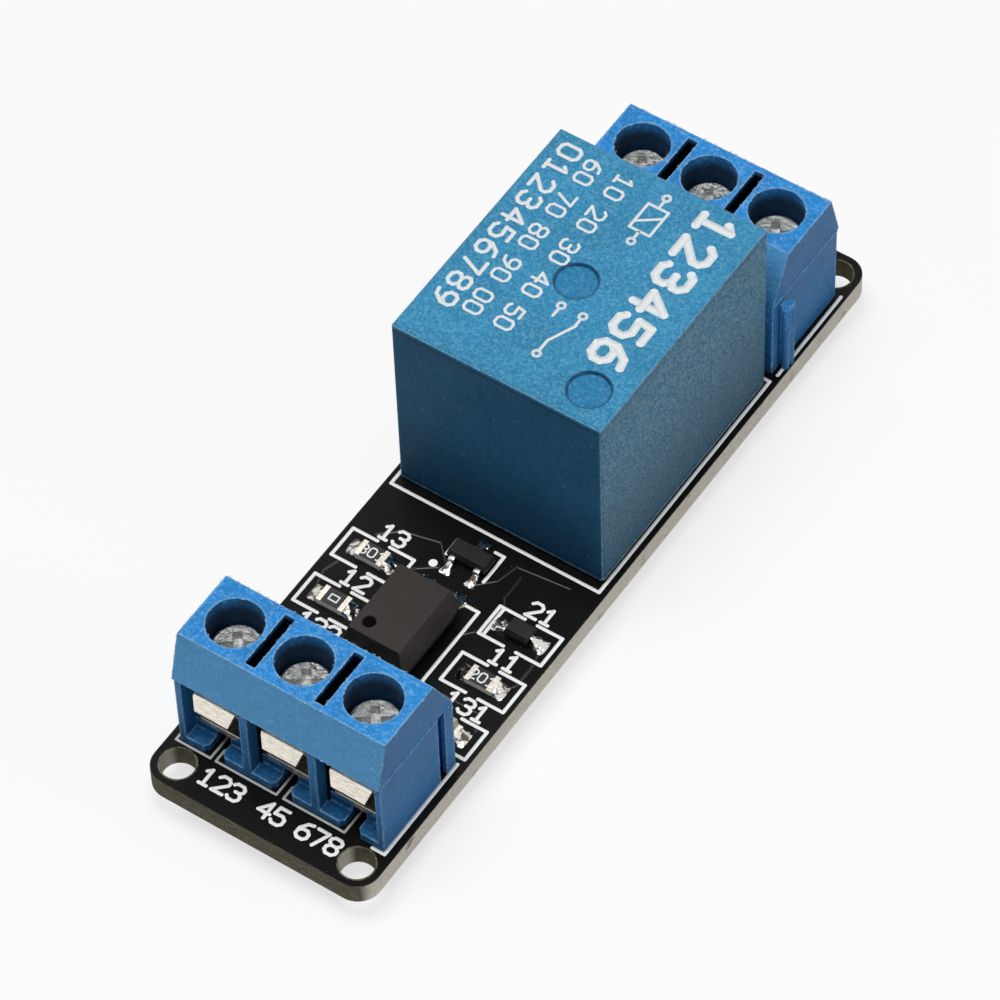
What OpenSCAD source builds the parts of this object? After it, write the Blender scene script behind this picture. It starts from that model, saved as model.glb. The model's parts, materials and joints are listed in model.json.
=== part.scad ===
// Single-channel relay module: a long circuit board with a three-pole screw
// terminal block at each end, a sealed relay, and the surface-mounted parts of
// its opto-isolated driver between them.
//
// Frame: +Y runs along the board from the input block to the output block, +Z is
// up, and z = 0 is the plane of the clipped pin tips that the module stands on.

/* [Board] */
// Thickness of the circuit board
board_t = 1.6; // [1:0.1:2.4]
// Bare strip of board beside the widest part on it
board_margin = 0.65; // [0.3:0.05:2]
// Bare length of board in front of each terminal block
block_setback = 3.08; // [2.9:0.01:6]
// Length of board between the input block and the relay
driver_l = 16.25; // [14.5:0.05:24]
// Radius of the board's corners
corner_r = 1.6; // [0.5:0.1:2.2]
// Diameter of the four corner holes
corner_hole_d = 2.3; // [1.5:0.1:2.5]
// Distance from each corner hole's centre to the two nearest edges
corner_hole_inset = 1.7; // [1.4:0.05:1.75]
// How far the clipped pins reach below the board
pin_stub = 1.8; // [1.2:0.1:3]
// Diameter of the soldered pins
pin_d = 0.9; // [0.6:0.05:1.1]
// Diameter of the drilled and plated holes for the pins
pin_hole_d = 1.3; // [1.2:0.05:1.5]

/* [Terminal blocks] */
// Distance between neighbouring poles
pitch = 5.08; // [5:0.02:5.5]
// Depth of a block from its wire face to its back
block_l = 7.9; // [7.6:0.1:10]
// Height of a block above the board
block_h = 10.3; // [9.6:0.1:12]
// Height of the lower edge of the sloped front face
lip_h = 6.7; // [6.4:0.1:7.2]
// Depth taken by the sloped front face
front_slope = 1.0; // [0.4:0.1:1.5]
// Depth taken by the sloped back face
back_slope = 1.8; // [1:0.1:2.4]
// How far the sloped front stands out over the walls below it
overhang = 0.2; // [0.1:0.05:0.4]
// Thickness of the walls between the poles
partition_t = 0.6; // [0.4:0.05:0.7]
// Thickness of the two end walls
end_wall = 0.45; // [0.35:0.05:0.7]
// Diameter of the screw wells
well_d = 3.7; // [3.4:0.05:4]
// Distance from the wire face to the screws' axes
screw_v = 3.5; // [3.4:0.05:3.8]
// Width of the slots between the wells
slot_w = 0.75; // [0.5:0.05:0.9]
// Length of the slots between the wells
slot_l = 4.25; // [3:0.05:4.6]
// Depth of the slots between the wells
slot_depth = 3.2; // [1:0.1:3.3]
// Thickness of the feet at the front of the block
foot_t = 0.6; // [0.4:0.05:0.8]
// Width of the gap between two feet
foot_gap = 1.05; // [0.8:0.05:1.3]
// Length of the gap between two feet
foot_gap_l = 2.2; // [1.8:0.1:2.6]
// Mouth width of the groove that joins one block to the next
groove_w = 0.72; // [0.6:0.02:0.8]
// Depth of that groove
groove_depth = 0.85; // [0.75:0.05:0.95]
// Height of the joining rib on the other end of the block
rib_h = 6.0; // [4:0.1:6.3]

/* [Clamps] */
// Thickness of the contact strip
strip_t = 0.6; // [0.5:0.05:0.7]
// Height of the contact's lower plate, top face
seat_h = 2.0; // [1.8:0.05:2.1]
// Height of the threaded upper plate, top face
nut_h = 5.1; // [5:0.05:5.3]
// Thickness of the wire guard's leaf
guard_t = 0.35; // [0.3:0.01:0.4]
// Height of the guard's flat under the screw, top face
guard_h = 3.95; // [3.7:0.05:4]
// Width of the guard
guard_w = 3.1; // [2.6:0.1:3.4]
// Width of the guard's front tongue at its tip
tongue_tip_w = 2.3; // [1.8:0.1:2.6]
// Height of the guard's front fold
fold_h = 5.3; // [5.1:0.05:5.5]
// Height of the tongue's tip
tongue_h = 3.9; // [3.7:0.05:4.2]
// Height of the top of the screw head at rest
head_top = 8.0; // [7.9:0.05:8.6]
// Height of the screw head
head_h = 1.4; // [1:0.1:1.45]
// Diameter of the screw's thread
thread_d = 2.5; // [2:0.1:2.6]
// Width of the screw's slot
driver_slot_w = 0.6; // [0.4:0.05:0.8]

/* [Relay case] */
// Width of the relay
relay_w = 15.5; // [15:0.1:18]
// Length of the relay
relay_l = 19.0; // [18.4:0.1:23]
// Height of the relay's case
relay_h = 15.3; // [14.6:0.1:20]
// Thickness of the relay's case
case_t = 0.8; // [0.6:0.05:1]
// Radius of the relay's outer edges
case_r = 0.3; // [0.15:0.05:0.5]
// Gap between the board and the relay's case
relay_standoff = 0.3; // [0.2:0.05:0.6]
// Gap between the relay and the output block
relay_gap = 0.9; // [0.3:0.05:3]
// Radius of the two round dents in the case's top
dent_r = 1.4; // [0.8:0.1:1.8]
// Depth of those dents
dent_depth = 0.2; // [0.1:0.05:0.4]
// Thickness of the relay's base plate
base_t = 1.2; // [0.8:0.1:1.6]
// Distance from the relay's ends to the outermost pins
relay_pin_inset = 2.4; // [2.3:0.05:2.8]
// Distance from the relay's sides to the outermost pins
relay_pin_side = 1.75; // [1.6:0.05:2]
// Distance along the relay from the common pin to the coil pins
coil_pin_step = 2.0; // [1.9:0.05:2.4]

/* [Relay mechanism] */
// Thickness of the yoke and the armature
yoke_t = 1.0; // [0.8:0.05:1.1]
// Width of the yoke
yoke_w = 8.0; // [6:0.1:8.6]
// Diameter of the core's shank
core_d = 3.6; // [3:0.1:4]
// Diameter of the core's pole face
pole_d = 5.0; // [4.4:0.1:6]
// Wall of the bobbin's tube
bobbin_t = 0.7; // [0.5:0.05:0.8]
// Outer diameter of the winding
coil_d = 8.4; // [7.4:0.1:8.8]
// Angle that the armature swings through, in degrees
swing = 3; // [2:0.1:3.5]
// Thickness of the contact blade
blade_t = 0.2; // [0.15:0.01:0.25]
// Width of the contact blade
blade_w = 4.4; // [3:0.1:6]
// Diameter of the moving contact
contact_d = 2.0; // [1.6:0.1:2.4]
// Thickness of the fixed contacts' arms
arm_t = 0.5; // [0.4:0.05:0.6]
// Width of the fixed contacts' arms
arm_w = 2.6; // [2.4:0.1:2.8]

/* [Driver parts] */
// Distance from the relay to the transistor's row
transistor_row = 3.0; // [2.6:0.1:3.1]
// Distance from the relay to the first row of small parts
first_row = 6.1; // [5.6:0.05:6.6]
// Distance from the last row of small parts to the input block
last_row = 1.75; // [1.3:0.05:2.2]
// Distance from the board's edges to the two columns of small parts
column_inset = 2.8; // [2.6:0.05:3]
// Length of the resistors and light-emitting diodes
chip_l = 2.0; // [1.6:0.05:2.1]
// Width of the resistors and light-emitting diodes
chip_w = 1.25; // [0.8:0.05:1.4]
// Height of the resistors
resistor_h = 0.5; // [0.35:0.05:0.6]
// Height of the light-emitting diodes
led_h = 0.8; // [0.6:0.05:1.1]
// Length of the metal ends of the small parts
chip_end_l = 0.35; // [0.2:0.05:0.5]
// Width of the optocoupler's body
opto_w = 4.6; // [4.2:0.1:5]
// Length of the optocoupler's body
opto_l = 6.5; // [6:0.1:6.6]
// Height of the optocoupler
opto_h = 3.5; // [2.4:0.1:4]
// Distance between neighbouring legs of the optocoupler
opto_pitch = 2.54; // [2.2:0.02:2.8]
// Length of the transistor's body
transistor_l = 2.9; // [2.6:0.05:3.1]
// Width of the transistor's body
transistor_w = 1.3; // [1.2:0.05:1.4]
// Height of the transistor
transistor_h = 1.0; // [0.8:0.05:1.2]
// Length of the diode's body
diode_l = 1.7; // [1.5:0.05:1.9]
// Width of the diode's body
diode_w = 1.25; // [1.1:0.05:1.4]
// Height of the diode
diode_h = 0.95; // [0.8:0.05:1.1]

/* [Hidden] */

$fn = 64;
poles = 3;
// Past the face of a solid, so that a cut goes clean through
over = 1;
// Gap round a piece that is slipped into a hole or a case
fit = 0.05;

// Overall sizes
block_w = poles * pitch;
board_w = max(relay_w, block_w) + 2 * board_margin;
board_l = 2 * (block_setback + block_l) + driver_l + relay_l + relay_gap;
top_z = pin_stub + board_t;

// Places along the board
input_face_y = -board_l / 2 + block_setback;
output_face_y = board_l / 2 - block_setback;
relay_y = input_face_y + block_l + driver_l;
column_x = board_w / 2 - column_inset;
row_step = (driver_l - first_row - last_row) / 2;
function row_y(i) = relay_y - first_row - i * row_step;

// ---------------------------------------------------------------- profiles

function unit(v) = v / norm(v);
function left_of(v) = [-v[1], v[0]];
function turned(v, a) = [v[0] * cos(a) - v[1] * sin(a), v[0] * sin(a) + v[1] * cos(a)];

// The arc of radius r that rounds corner b of the path a, b, c
function arc_at(a, b, c, r, steps) =
    let (u = unit(a - b), w = unit(c - b), half = acos(u * w) / 2)
    let (centre = b + unit(u + w) * r / sin(half), start = b + u * r / tan(half) - centre)
    let (sweep = sign(cross(-u, w)) * (180 - 2 * half))
    [for (k = [0 : steps]) centre + turned(start, sweep * k / steps)];

// A path with every corner rounded to radius r
function bent(path, r, steps = 4) = [
    for (i = [0 : len(path) - 1])
        each i == 0 || i == len(path) - 1
            ? [path[i]]
            : arc_at(path[i - 1], path[i], path[i + 1], r, steps)];

// The offset direction at point i of a path, lengthened where the path turns
function mitre(path, i) =
    let (last = len(path) - 1)
    let (before = unit(path[max(i, 1)] - path[max(i, 1) - 1]))
    let (after = unit(path[min(i, last - 1) + 1] - path[min(i, last - 1)]))
    (left_of(before) + left_of(after)) / (1 + before * after);

// The outline of a strip of thickness t along a path
function strip(path, t) = concat(
    [for (i = [0 : len(path) - 1]) path[i] + mitre(path, i) * t / 2],
    [for (i = [len(path) - 1 : -1 : 0]) path[i] - mitre(path, i) * t / 2]);

module rounded_rect(w, l, r) {
    square([w - 2 * r, l], center = true);
    square([w, l - 2 * r], center = true);
    for (x = [-1, 1], y = [-1, 1])
        translate([x * (w / 2 - r), y * (l / 2 - r)])
            circle(r);
}

// Extrudes a Y-Z outline along X, centred
module along_x(w)
    rotate([90, 0, 90])
        translate([0, 0, -w / 2])
            linear_extrude(w)
                children();

// Extrudes an X-Z outline along Y, centred
module along_y(l)
    rotate([90, 0, 0])
        translate([0, 0, -l / 2])
            linear_extrude(l)
                children();

// A moulded package: widest at its parting line, tapered above and below it
module package(w, l, h, lift, taper) {
    mid = (h + lift) / 2;
    intersection() {
        along_x(w)
            polygon([[-l / 2 + taper, lift], [-l / 2, mid], [-l / 2 + taper, h],
                [l / 2 - taper, h], [l / 2, mid], [l / 2 - taper, lift]]);
        along_y(l)
            polygon([[-w / 2 + taper, lift], [-w / 2, mid], [-w / 2 + taper, h],
                [w / 2 - taper, h], [w / 2, mid], [w / 2 - taper, lift]]);
    }
}

// ------------------------------------------------------------------- places

function pole_x(i) = (i - (poles - 1) / 2) * pitch;

module at_input()
    translate([0, input_face_y, top_z])
        children();

module at_output()
    translate([0, output_face_y, top_z])
        rotate(180)
            children();

module at_relay()
    translate([0, relay_y, top_z + relay_standoff])
        children();

module on_board(place)
    translate([place[0], place[1], top_z])
        children();

// Soldered pins of the terminal blocks and the relay
pin_v = 4.0;
relay_pin_x = relay_w / 2 - relay_pin_side;
relay_pins = [
    [0, relay_pin_inset],
    [-relay_pin_x, relay_pin_inset + coil_pin_step],
    [relay_pin_x, relay_pin_inset + coil_pin_step],
    [-relay_pin_x, relay_l - relay_pin_inset],
    [relay_pin_x, relay_l - relay_pin_inset]];
pin_places = concat(
    [for (i = [0 : poles - 1]) [pole_x(i), input_face_y + pin_v]],
    [for (i = [0 : poles - 1]) [pole_x(i), output_face_y - pin_v]],
    [for (p = relay_pins) p + [0, relay_y]]);

// Small parts of the driver, with the solder that runs out from their legs
leg_pad_l = 0.4;
transistor_toe = transistor_w / 2 + 0.55;
resistor_places = [[column_x, row_y(1)], [-column_x, row_y(1)], [-column_x, row_y(0)]];
led_places = [[column_x, row_y(2)], [-column_x, row_y(2)]];
diode_place = [column_x, row_y(0)];
transistor_place = [-0.2, relay_y - transistor_row];
opto_place = [-0.4, (transistor_place[1] - transistor_toe - leg_pad_l + relay_y - driver_l) / 2];

// -------------------------------------------------------------------- board

module board()
    color("#1d1c1b")
        translate([0, 0, pin_stub])
            linear_extrude(board_t)
                difference() {
                    rounded_rect(board_w, board_l, corner_r);
                    for (x = [-1, 1], y = [-1, 1])
                        translate([x * (board_w / 2 - corner_hole_inset),
                            y * (board_l / 2 - corner_hole_inset)])
                            circle(d = corner_hole_d);
                    for (p = pin_places)
                        translate(p)
                            circle(d = pin_hole_d);
                }

// Solder cones under the board, drawn up round the pins
pad_r = 1.05;
cone_h = 1.15;
cone_tip_t = 0.12;

module solder_cone() {
    tip_r = pin_d / 2 + cone_tip_t;
    rotate_extrude()
        polygon(concat(
            [[pin_d / 2, 0]],
            [for (a = [0 : 15 : 90])
                [pad_r - (pad_r - tip_r) * sin(a), -cone_h * (1 - cos(a))]],
            [[pin_d / 2, -cone_h]]));
}

module pin_solder()
    color("silver")
        for (p = pin_places)
            translate([p[0], p[1], pin_stub])
                solder_cone();

// A solder fillet that runs from the end of a part or leg down to its pad,
// with the part at the origin and the pad along +X
module fillet(l, w, h)
    along_y(w)
        polygon(concat(
            [[0, 0], [l, 0]],
            [for (a = [0 : 15 : 90]) [l * (1 - sin(a)), fillet_t + (h - fillet_t) * (1 - cos(a))]]));
fillet_t = 0.05;
chip_pad_l = 0.75;

module chip_fillets(place, l, h)
    on_board(place)
        for (a = [0, 180])
            rotate(a)
                translate([l / 2, 0, 0])
                    fillet(chip_pad_l, chip_w, h * 0.8);

module leg_fillets(place, legs, w)
    on_board(place)
        for (leg = legs)
            translate([leg[0], leg[1], 0])
                rotate(leg[2])
                    fillet(leg_pad_l, w + 0.3, leg[3]);

module pad_solder()
    color("lightgray") {
        for (p = resistor_places)
            chip_fillets(p, chip_l, resistor_h);
        for (p = led_places)
            chip_fillets(p, chip_l, resistor_h);
        leg_fillets(diode_place, diode_toes, diode_leg_w);
        leg_fillets(opto_place, opto_toes, opto_leg_w);
        leg_fillets(transistor_place, transistor_toes, transistor_leg_w);
    }

// ---------------------------------------------------------- terminal blocks

// Places inside a block, from the wire face and from the board
ledge_v = 1.3;
back_wall = 2.1;
leg_gap = 0.1;
cell_l = block_l - back_wall;
leg_v = cell_l - leg_gap - strip_t / 2;
ledge_h = seat_h - strip_t;
groove_v = block_l - 1.25;
groove_mouth = 0.3;
groove_room = 0.24;
seam_t = 0.05;
seam_h = 0.12;

function cell_from(i) = i == 0 ? -block_w / 2 + end_wall : pole_x(i) - (pitch - partition_t) / 2;
function cell_to(i) = i == poles - 1 ? block_w / 2 - end_wall : pole_x(i) + (pitch - partition_t) / 2;

module housing_body() {
    along_x(block_w)
        polygon([
            [overhang, 0], [overhang, lip_h], [0, lip_h], [front_slope, block_h],
            [block_l - back_slope, block_h], [block_l, lip_h], [block_l, 0]]);
    // Parting seam of the mould, round both ends
    translate([0, block_l / 2, lip_h - seam_h])
        linear_extrude(seam_h)
            square([block_w + 2 * seam_t, block_l - 2 * overhang], center = true);
}

// The rib that slides into the next block's groove
rib_lobe_r = groove_w / 2 - 0.09;
module joining_rib()
    translate([-block_w / 2, groove_v, 0])
        linear_extrude(rib_h) {
            translate([-groove_depth + rib_lobe_r + 0.15, -groove_w / 2 + 0.1])
                square([groove_depth - rib_lobe_r, groove_w - 0.2]);
            for (side = [-1, 1])
                translate([-groove_depth + rib_lobe_r + 0.15, side * rib_lobe_r])
                    circle(rib_lobe_r);
        }

module joining_groove()
    translate([block_w / 2 - groove_depth, groove_v, -over])
        linear_extrude(lip_h + over) {
            translate([0, -groove_w / 2])
                square([groove_depth + over, groove_w]);
            translate([0, -groove_w / 2 - groove_room])
                square([groove_depth - groove_mouth, groove_w + 2 * groove_room]);
        }

// The open cell that holds one clamp, with the gap between its two feet
module cell(i) {
    translate([(cell_from(i) + cell_to(i)) / 2, 0, 0])
        along_x(cell_to(i) - cell_from(i))
            polygon([
                [-over, foot_t], [ledge_v, foot_t], [ledge_v, ledge_h],
                [cell_l, ledge_h], [cell_l, lip_h], [-over, lip_h]]);
    chamfer = 0.3;
    translate([pole_x(i), 0, -over])
        linear_extrude(ledge_h + 2 * over)
            polygon([
                [-foot_gap / 2 - chamfer, 0], [foot_gap / 2 + chamfer, 0],
                [foot_gap / 2 + chamfer, overhang], [foot_gap / 2, overhang + chamfer],
                [foot_gap / 2, foot_gap_l], [-foot_gap / 2, foot_gap_l],
                [-foot_gap / 2, overhang + chamfer], [-foot_gap / 2 - chamfer, overhang]]);
    translate([pole_x(i), pin_v, -over])
        cylinder(d = pin_d + 2 * fit, h = ledge_h + 2 * over);
    translate([pole_x(i), screw_v, lip_h - over])
        cylinder(d = well_d, h = block_h - lip_h + 2 * over);
}

module slot_between(i)
    translate([pole_x(i) + pitch / 2, (front_slope + block_l - back_slope) / 2, block_h])
        cube([slot_w, slot_l, 2 * slot_depth], center = true);

module housing()
    color("royalblue")
        difference() {
            union() {
                housing_body();
                joining_rib();
            }
            joining_groove();
            for (i = [0 : poles - 1])
                cell(i);
            for (i = [0 : poles - 2])
                slot_between(i);
        }

// The contact: one strip bent into a lower plate, a back leg and a threaded
// upper plate, with its solder pin
bore_d = thread_d + 2 * fit;
nut_wall = 0.5;
nut_front = screw_v - bore_d / 2 - nut_wall;
plate_front = 0.15;
contact_w = guard_w + 0.3;
strip_bend = 0.05;
module contact(i)
    color("silver")
        translate([pole_x(i), 0, 0]) {
            difference() {
                along_x(contact_w)
                    polygon(strip(bent([
                        [ledge_v - plate_front, seat_h - strip_t / 2],
                        [leg_v, seat_h - strip_t / 2],
                        [leg_v, nut_h - strip_t / 2], [nut_front, nut_h - strip_t / 2]],
                        strip_t / 2 + strip_bend), strip_t));
                translate([0, screw_v, nut_h - strip_t - over])
                    cylinder(d = bore_d, h = strip_t + 2 * over);
            }
            translate([0, pin_v, -top_z])
                cylinder(d = pin_d, h = top_z + seat_h - strip_t / 2);
        }

// The wire guard: a leaf under the screw that folds up in front of the threaded
// plate and down again into a tapered tongue
guard_mid = guard_h - guard_t / 2;
guard_gap = 0.2;
fold_v = 0.9;
tongue_v = 0.42;
tongue_root = 0.25;
module guard(i)
    color("gainsboro")
        translate([pole_x(i), 0, 0])
            difference() {
                along_x(guard_w)
                    polygon(strip(bent([
                        [leg_v - strip_t / 2 - guard_gap, guard_mid],
                        [nut_front - guard_gap, guard_mid],
                        [fold_v, fold_h], [tongue_v, tongue_h]],
                        guard_t / 2 + 0.01), guard_t));
                for (side = [-1, 1])
                    translate([0, fold_v / 2 - over / 2, 0])
                        along_y(fold_v + over)
                            polygon([
                                [side * tongue_tip_w / 2, tongue_h - over / 4],
                                [side * (guard_w / 2 + over), tongue_h - over / 4],
                                [side * (guard_w / 2 + over), fold_h - tongue_root],
                                [side * guard_w / 2, fold_h - tongue_root]]);
            }

// The clamp screw: a cheese head with a slot and a cross
head_d = well_d - 0.3;
head_chamfer = 0.2;
cross_d = 0.62 * head_d;
module screw(i)
    color("silver")
        translate([pole_x(i), screw_v, 0])
            difference() {
                union() {
                    translate([0, 0, head_top - head_h])
                        cylinder(d = head_d, h = head_h - head_chamfer);
                    translate([0, 0, head_top - head_chamfer])
                        cylinder(d1 = head_d, d2 = head_d - 2 * head_chamfer, h = head_chamfer);
                    translate([0, 0, guard_h])
                        cylinder(d = thread_d, h = head_top - head_h / 2 - guard_h);
                }
                rotate(35) {
                    translate([0, 0, head_top])
                        cube([head_d + over, driver_slot_w, 0.7], center = true);
                    for (a = [0, 90])
                        rotate(a)
                            translate([0, 0, head_top])
                                cube([cross_d, driver_slot_w, 1.6], center = true);
                }
            }

// -------------------------------------------------------------------- relay

module relay_case()
    color("steelblue")
        at_relay()
            difference() {
                intersection() {
                    translate([0, relay_l / 2, 0])
                        linear_extrude(relay_h)
                            rounded_rect(relay_w, relay_l, case_r);
                    translate([0, relay_l / 2, 0])
                        along_x(relay_w)
                            rounded_rect(relay_l, 2 * relay_h, case_r);
                    translate([0, relay_l / 2, 0])
                        along_y(relay_l)
                            rounded_rect(relay_w, 2 * relay_h, case_r);
                }
                translate([0, relay_l / 2, (relay_h - case_t) / 2 - over / 2])
                    cube([relay_w - 2 * case_t, relay_l - 2 * case_t, relay_h - case_t + over],
                        center = true);
                for (p = [[0, relay_l / 2 - 0.4],
                        [relay_w / 2 - relay_pin_inset, relay_pin_inset]])
                    translate([p[0], p[1], relay_h - dent_depth])
                        cylinder(r = dent_r, h = dent_depth + over);
            }

module relay_base()
    color("midnightblue")
        at_relay()
            difference() {
                union() {
                    translate([-relay_w / 2 + case_t + fit, case_t + fit, 0])
                        cube([relay_w - 2 * (case_t + fit), relay_l - 2 * (case_t + fit), base_t]);
                    for (x = [-1, 1], y = [0, 1])
                        translate([x * relay_w / 4, relay_l / 4 + y * relay_l / 2, -relay_standoff])
                            cylinder(r = 0.7, h = relay_standoff + base_t / 2);
                }
                for (p = relay_pins)
                    translate([p[0], p[1], -over])
                        cylinder(d = pin_d + 2 * fit, h = base_t + 2 * over);
            }

// Heights inside the relay, from the lower edge of its case, and places along it
pole_lift = 0.2;
flange_t = 0.7;
rivet_t = 0.4;
headroom = 0.45;
leg_y = relay_pin_inset + pin_d / 2;
hinge_y = leg_y + yoke_t;
flange_l = coil_d + 0.4;
core_y = hinge_y + 0.15 + flange_l / 2;
contact_y = relay_l - relay_pin_inset;
pole_gap = (core_y + pole_d / 2 - hinge_y) * sin(swing) + 0.03;
contact_gap = (contact_y + contact_d / 2 - hinge_y) * sin(swing) + 0.03;
contact_room = 0.02;
hinge_z = relay_h - case_t - headroom - arm_t - 2 * rivet_t - contact_room - blade_t - yoke_t;
pole_z = hinge_z - pole_gap;
bobbin_z = base_t + yoke_t;
coil_h = pole_z - pole_lift - bobbin_z - 2 * flange_t;
blade_z = hinge_z + yoke_t;
open_contact_z = blade_z - rivet_t - contact_gap;
closed_contact_z = blade_z + blade_t + rivet_t + contact_room;

module relay_bobbin()
    color("ivory")
        at_relay()
            translate([0, core_y, bobbin_z])
                difference() {
                    union() {
                        translate([-relay_pin_x - 0.7, -flange_l / 2, 0])
                            cube([2 * relay_pin_x + 1.4, flange_l, flange_t]);
                        translate([0, 0, flange_t / 2])
                            cylinder(d = core_d + 2 * (fit + bobbin_t), h = coil_h + flange_t);
                        translate([-flange_l / 2, -flange_l / 2, flange_t + coil_h])
                            cube([flange_l, flange_l, flange_t]);
                    }
                    translate([0, 0, -over])
                        cylinder(d = core_d + 2 * fit, h = coil_h + 2 * flange_t + 2 * over);
                    for (x = [-1, 1])
                        translate([x * relay_pin_x, relay_pin_inset + coil_pin_step - core_y, -over])
                            cylinder(d = pin_d + 2 * fit, h = flange_t + 2 * over);
                }

module relay_coil()
    color("peru")
        at_relay()
            translate([0, core_y, bobbin_z + flange_t])
                difference() {
                    cylinder(d = coil_d, h = coil_h);
                    translate([0, 0, -over])
                        cylinder(d = core_d + 2 * (fit + bobbin_t), h = coil_h + 2 * over);
                }

// The core: a pole face, a shank, and a tenon riveted into the yoke's foot
tenon_d = core_d - 1.2;
module relay_core()
    color("silver")
        at_relay()
            translate([0, core_y, 0]) {
                translate([0, 0, base_t])
                    cylinder(d = tenon_d, h = yoke_t + over);
                translate([0, 0, bobbin_z])
                    cylinder(d = core_d, h = pole_z - bobbin_z);
                translate([0, 0, pole_z - pole_lift])
                    cylinder(d = pole_d, h = pole_lift);
            }

module relay_yoke()
    color("darkgray")
        at_relay()
            difference() {
                along_x(yoke_w)
                    polygon(strip(bent([
                        [core_y + pole_d / 2, base_t + yoke_t / 2],
                        [leg_y + yoke_t / 2, base_t + yoke_t / 2],
                        [leg_y + yoke_t / 2, hinge_z]], yoke_t / 2 + 0.1), yoke_t));
                translate([0, core_y, base_t - over])
                    cylinder(d = tenon_d + 2 * fit, h = yoke_t + 2 * over);
            }

module relay_armature()
    color("lightslategray")
        at_relay()
            translate([-yoke_w / 2 - 0.3, leg_y, hinge_z])
                cube([yoke_w + 0.6, core_y + flange_l / 2 - leg_y, yoke_t]);

// The blade lies on the armature, with a tab that hangs behind the yoke's leg
tab_h = 2.4;
module relay_blade()
    color("goldenrod")
        at_relay()
            difference() {
                along_x(blade_w)
                    polygon(strip(bent([
                        [leg_y - 0.3, blade_z - tab_h], [leg_y - 0.3, blade_z + blade_t / 2],
                        [contact_y + contact_d / 2 + 0.3, blade_z + blade_t / 2]], 0.25), blade_t));
                translate([0, contact_y, blade_z - over])
                    cylinder(d = contact_d / 2, h = blade_t + 2 * over);
            }

module relay_moving_contact()
    color("silver")
        at_relay()
            translate([0, contact_y, blade_z]) {
                translate([0, 0, -rivet_t])
                    cylinder(d = contact_d, h = rivet_t);
                translate([0, 0, -rivet_t / 2])
                    cylinder(d = contact_d / 2, h = blade_t + rivet_t);
                translate([0, 0, blade_t])
                    cylinder(d = contact_d, h = rivet_t);
            }

// A fixed contact: a pin, an upright strip and an arm that reaches the contact
module fixed_contact(side, arm_z, button_z)
    at_relay() {
        translate([0, contact_y, 0])
            along_y(arm_w)
                polygon(strip(bent([
                    [side * relay_pin_x, base_t], [side * relay_pin_x, arm_z],
                    [-side * contact_d * 0.6, arm_z]], arm_t), arm_t));
        translate([0, contact_y, button_z])
            cylinder(d = contact_d, h = rivet_t);
        translate([side * relay_pin_x, contact_y, -relay_standoff - top_z])
            cylinder(d = pin_d, h = relay_standoff + top_z + base_t);
    }

module relay_open_terminal()
    color("khaki")
        fixed_contact(1, open_contact_z - rivet_t - arm_t / 2, open_contact_z - rivet_t);

module relay_closed_terminal()
    color("khaki")
        fixed_contact(-1, closed_contact_z + rivet_t + arm_t / 2, closed_contact_z);

// The common pin: a round pin with a flat tab against the yoke's leg
tab_t = pin_d / 2;
tab_l = 3.5;
module relay_common_pin()
    color("khaki")
        at_relay() {
            translate([-yoke_w / 6, leg_y - tab_t, base_t])
                cube([yoke_w / 3, tab_t, tab_l]);
            translate([0, relay_pin_inset, -relay_standoff - top_z])
                cylinder(d = pin_d, h = relay_standoff + top_z + base_t + fit);
        }

// A coil pin stands through the bobbin's lower flange
module relay_coil_pin(side)
    color("khaki")
        at_relay()
            translate([side * relay_pin_x, relay_pin_inset + coil_pin_step,
                -relay_standoff - top_z])
                cylinder(d = pin_d, h = relay_standoff + top_z + bobbin_z + flange_t + over);

// ------------------------------------------------------------- driver parts

// One leg in the Y-Z plane: out of the package at height z, down, and a flat foot
module leg(from, out, toe, z, w, t)
    along_x(w)
        polygon(strip(bent([[from, z], [out, z], [out + 0.15, t / 2], [toe, t / 2]], t, 3), t));

opto_leg_w = 0.7;
opto_leg_t = 0.25;
opto_lift = 0.25;
opto_toe = opto_l / 2 + 1.3;
opto_toes = [
    for (x = [-1, 1], y = [-1, 1])
        [x * opto_pitch / 2, y * opto_toe, y * 90, opto_leg_t]];
module optocoupler_leg_set()
    for (a = [0, 180], x = [-1, 1])
        rotate(a)
            translate([x * opto_pitch / 2, 0, 0])
                leg(opto_l / 2 - 0.5, opto_l / 2 + 0.45, opto_toe,
                    (opto_h + opto_lift) / 2, opto_leg_w, opto_leg_t);

module optocoupler()
    color("#2b2a2a")
        on_board(opto_place)
            difference() {
                package(opto_w, opto_l, opto_h, opto_lift, 0.4);
                optocoupler_leg_set();
                translate([-opto_w / 2 + 1.3, -opto_l / 2 + 1.4, opto_h - 0.1])
                    cylinder(r = 0.45, h = over);
            }

module optocoupler_legs()
    color("silver")
        on_board(opto_place)
            optocoupler_leg_set();

transistor_leg_w = 0.42;
transistor_leg_t = 0.14;
transistor_leg_x = 0.95;
transistor_toes = [
    [-transistor_leg_x, -transistor_toe, -90, transistor_leg_t],
    [transistor_leg_x, -transistor_toe, -90, transistor_leg_t],
    [0, transistor_toe, 90, transistor_leg_t]];
module transistor_leg()
    leg(transistor_w / 2 - 0.25, transistor_w / 2 + 0.2, transistor_toe,
        transistor_h / 2 + 0.05, transistor_leg_w, transistor_leg_t);
module transistor_leg_set() {
    transistor_leg();
    for (x = [-1, 1])
        translate([x * transistor_leg_x, 0, 0])
            rotate(180)
                transistor_leg();
}

module transistor()
    color("#2b2a2a")
        on_board(transistor_place)
            difference() {
                package(transistor_l, transistor_w, transistor_h, 0.1, 0.12);
                transistor_leg_set();
            }

module transistor_legs()
    color("silver")
        on_board(transistor_place)
            transistor_leg_set();

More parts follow.
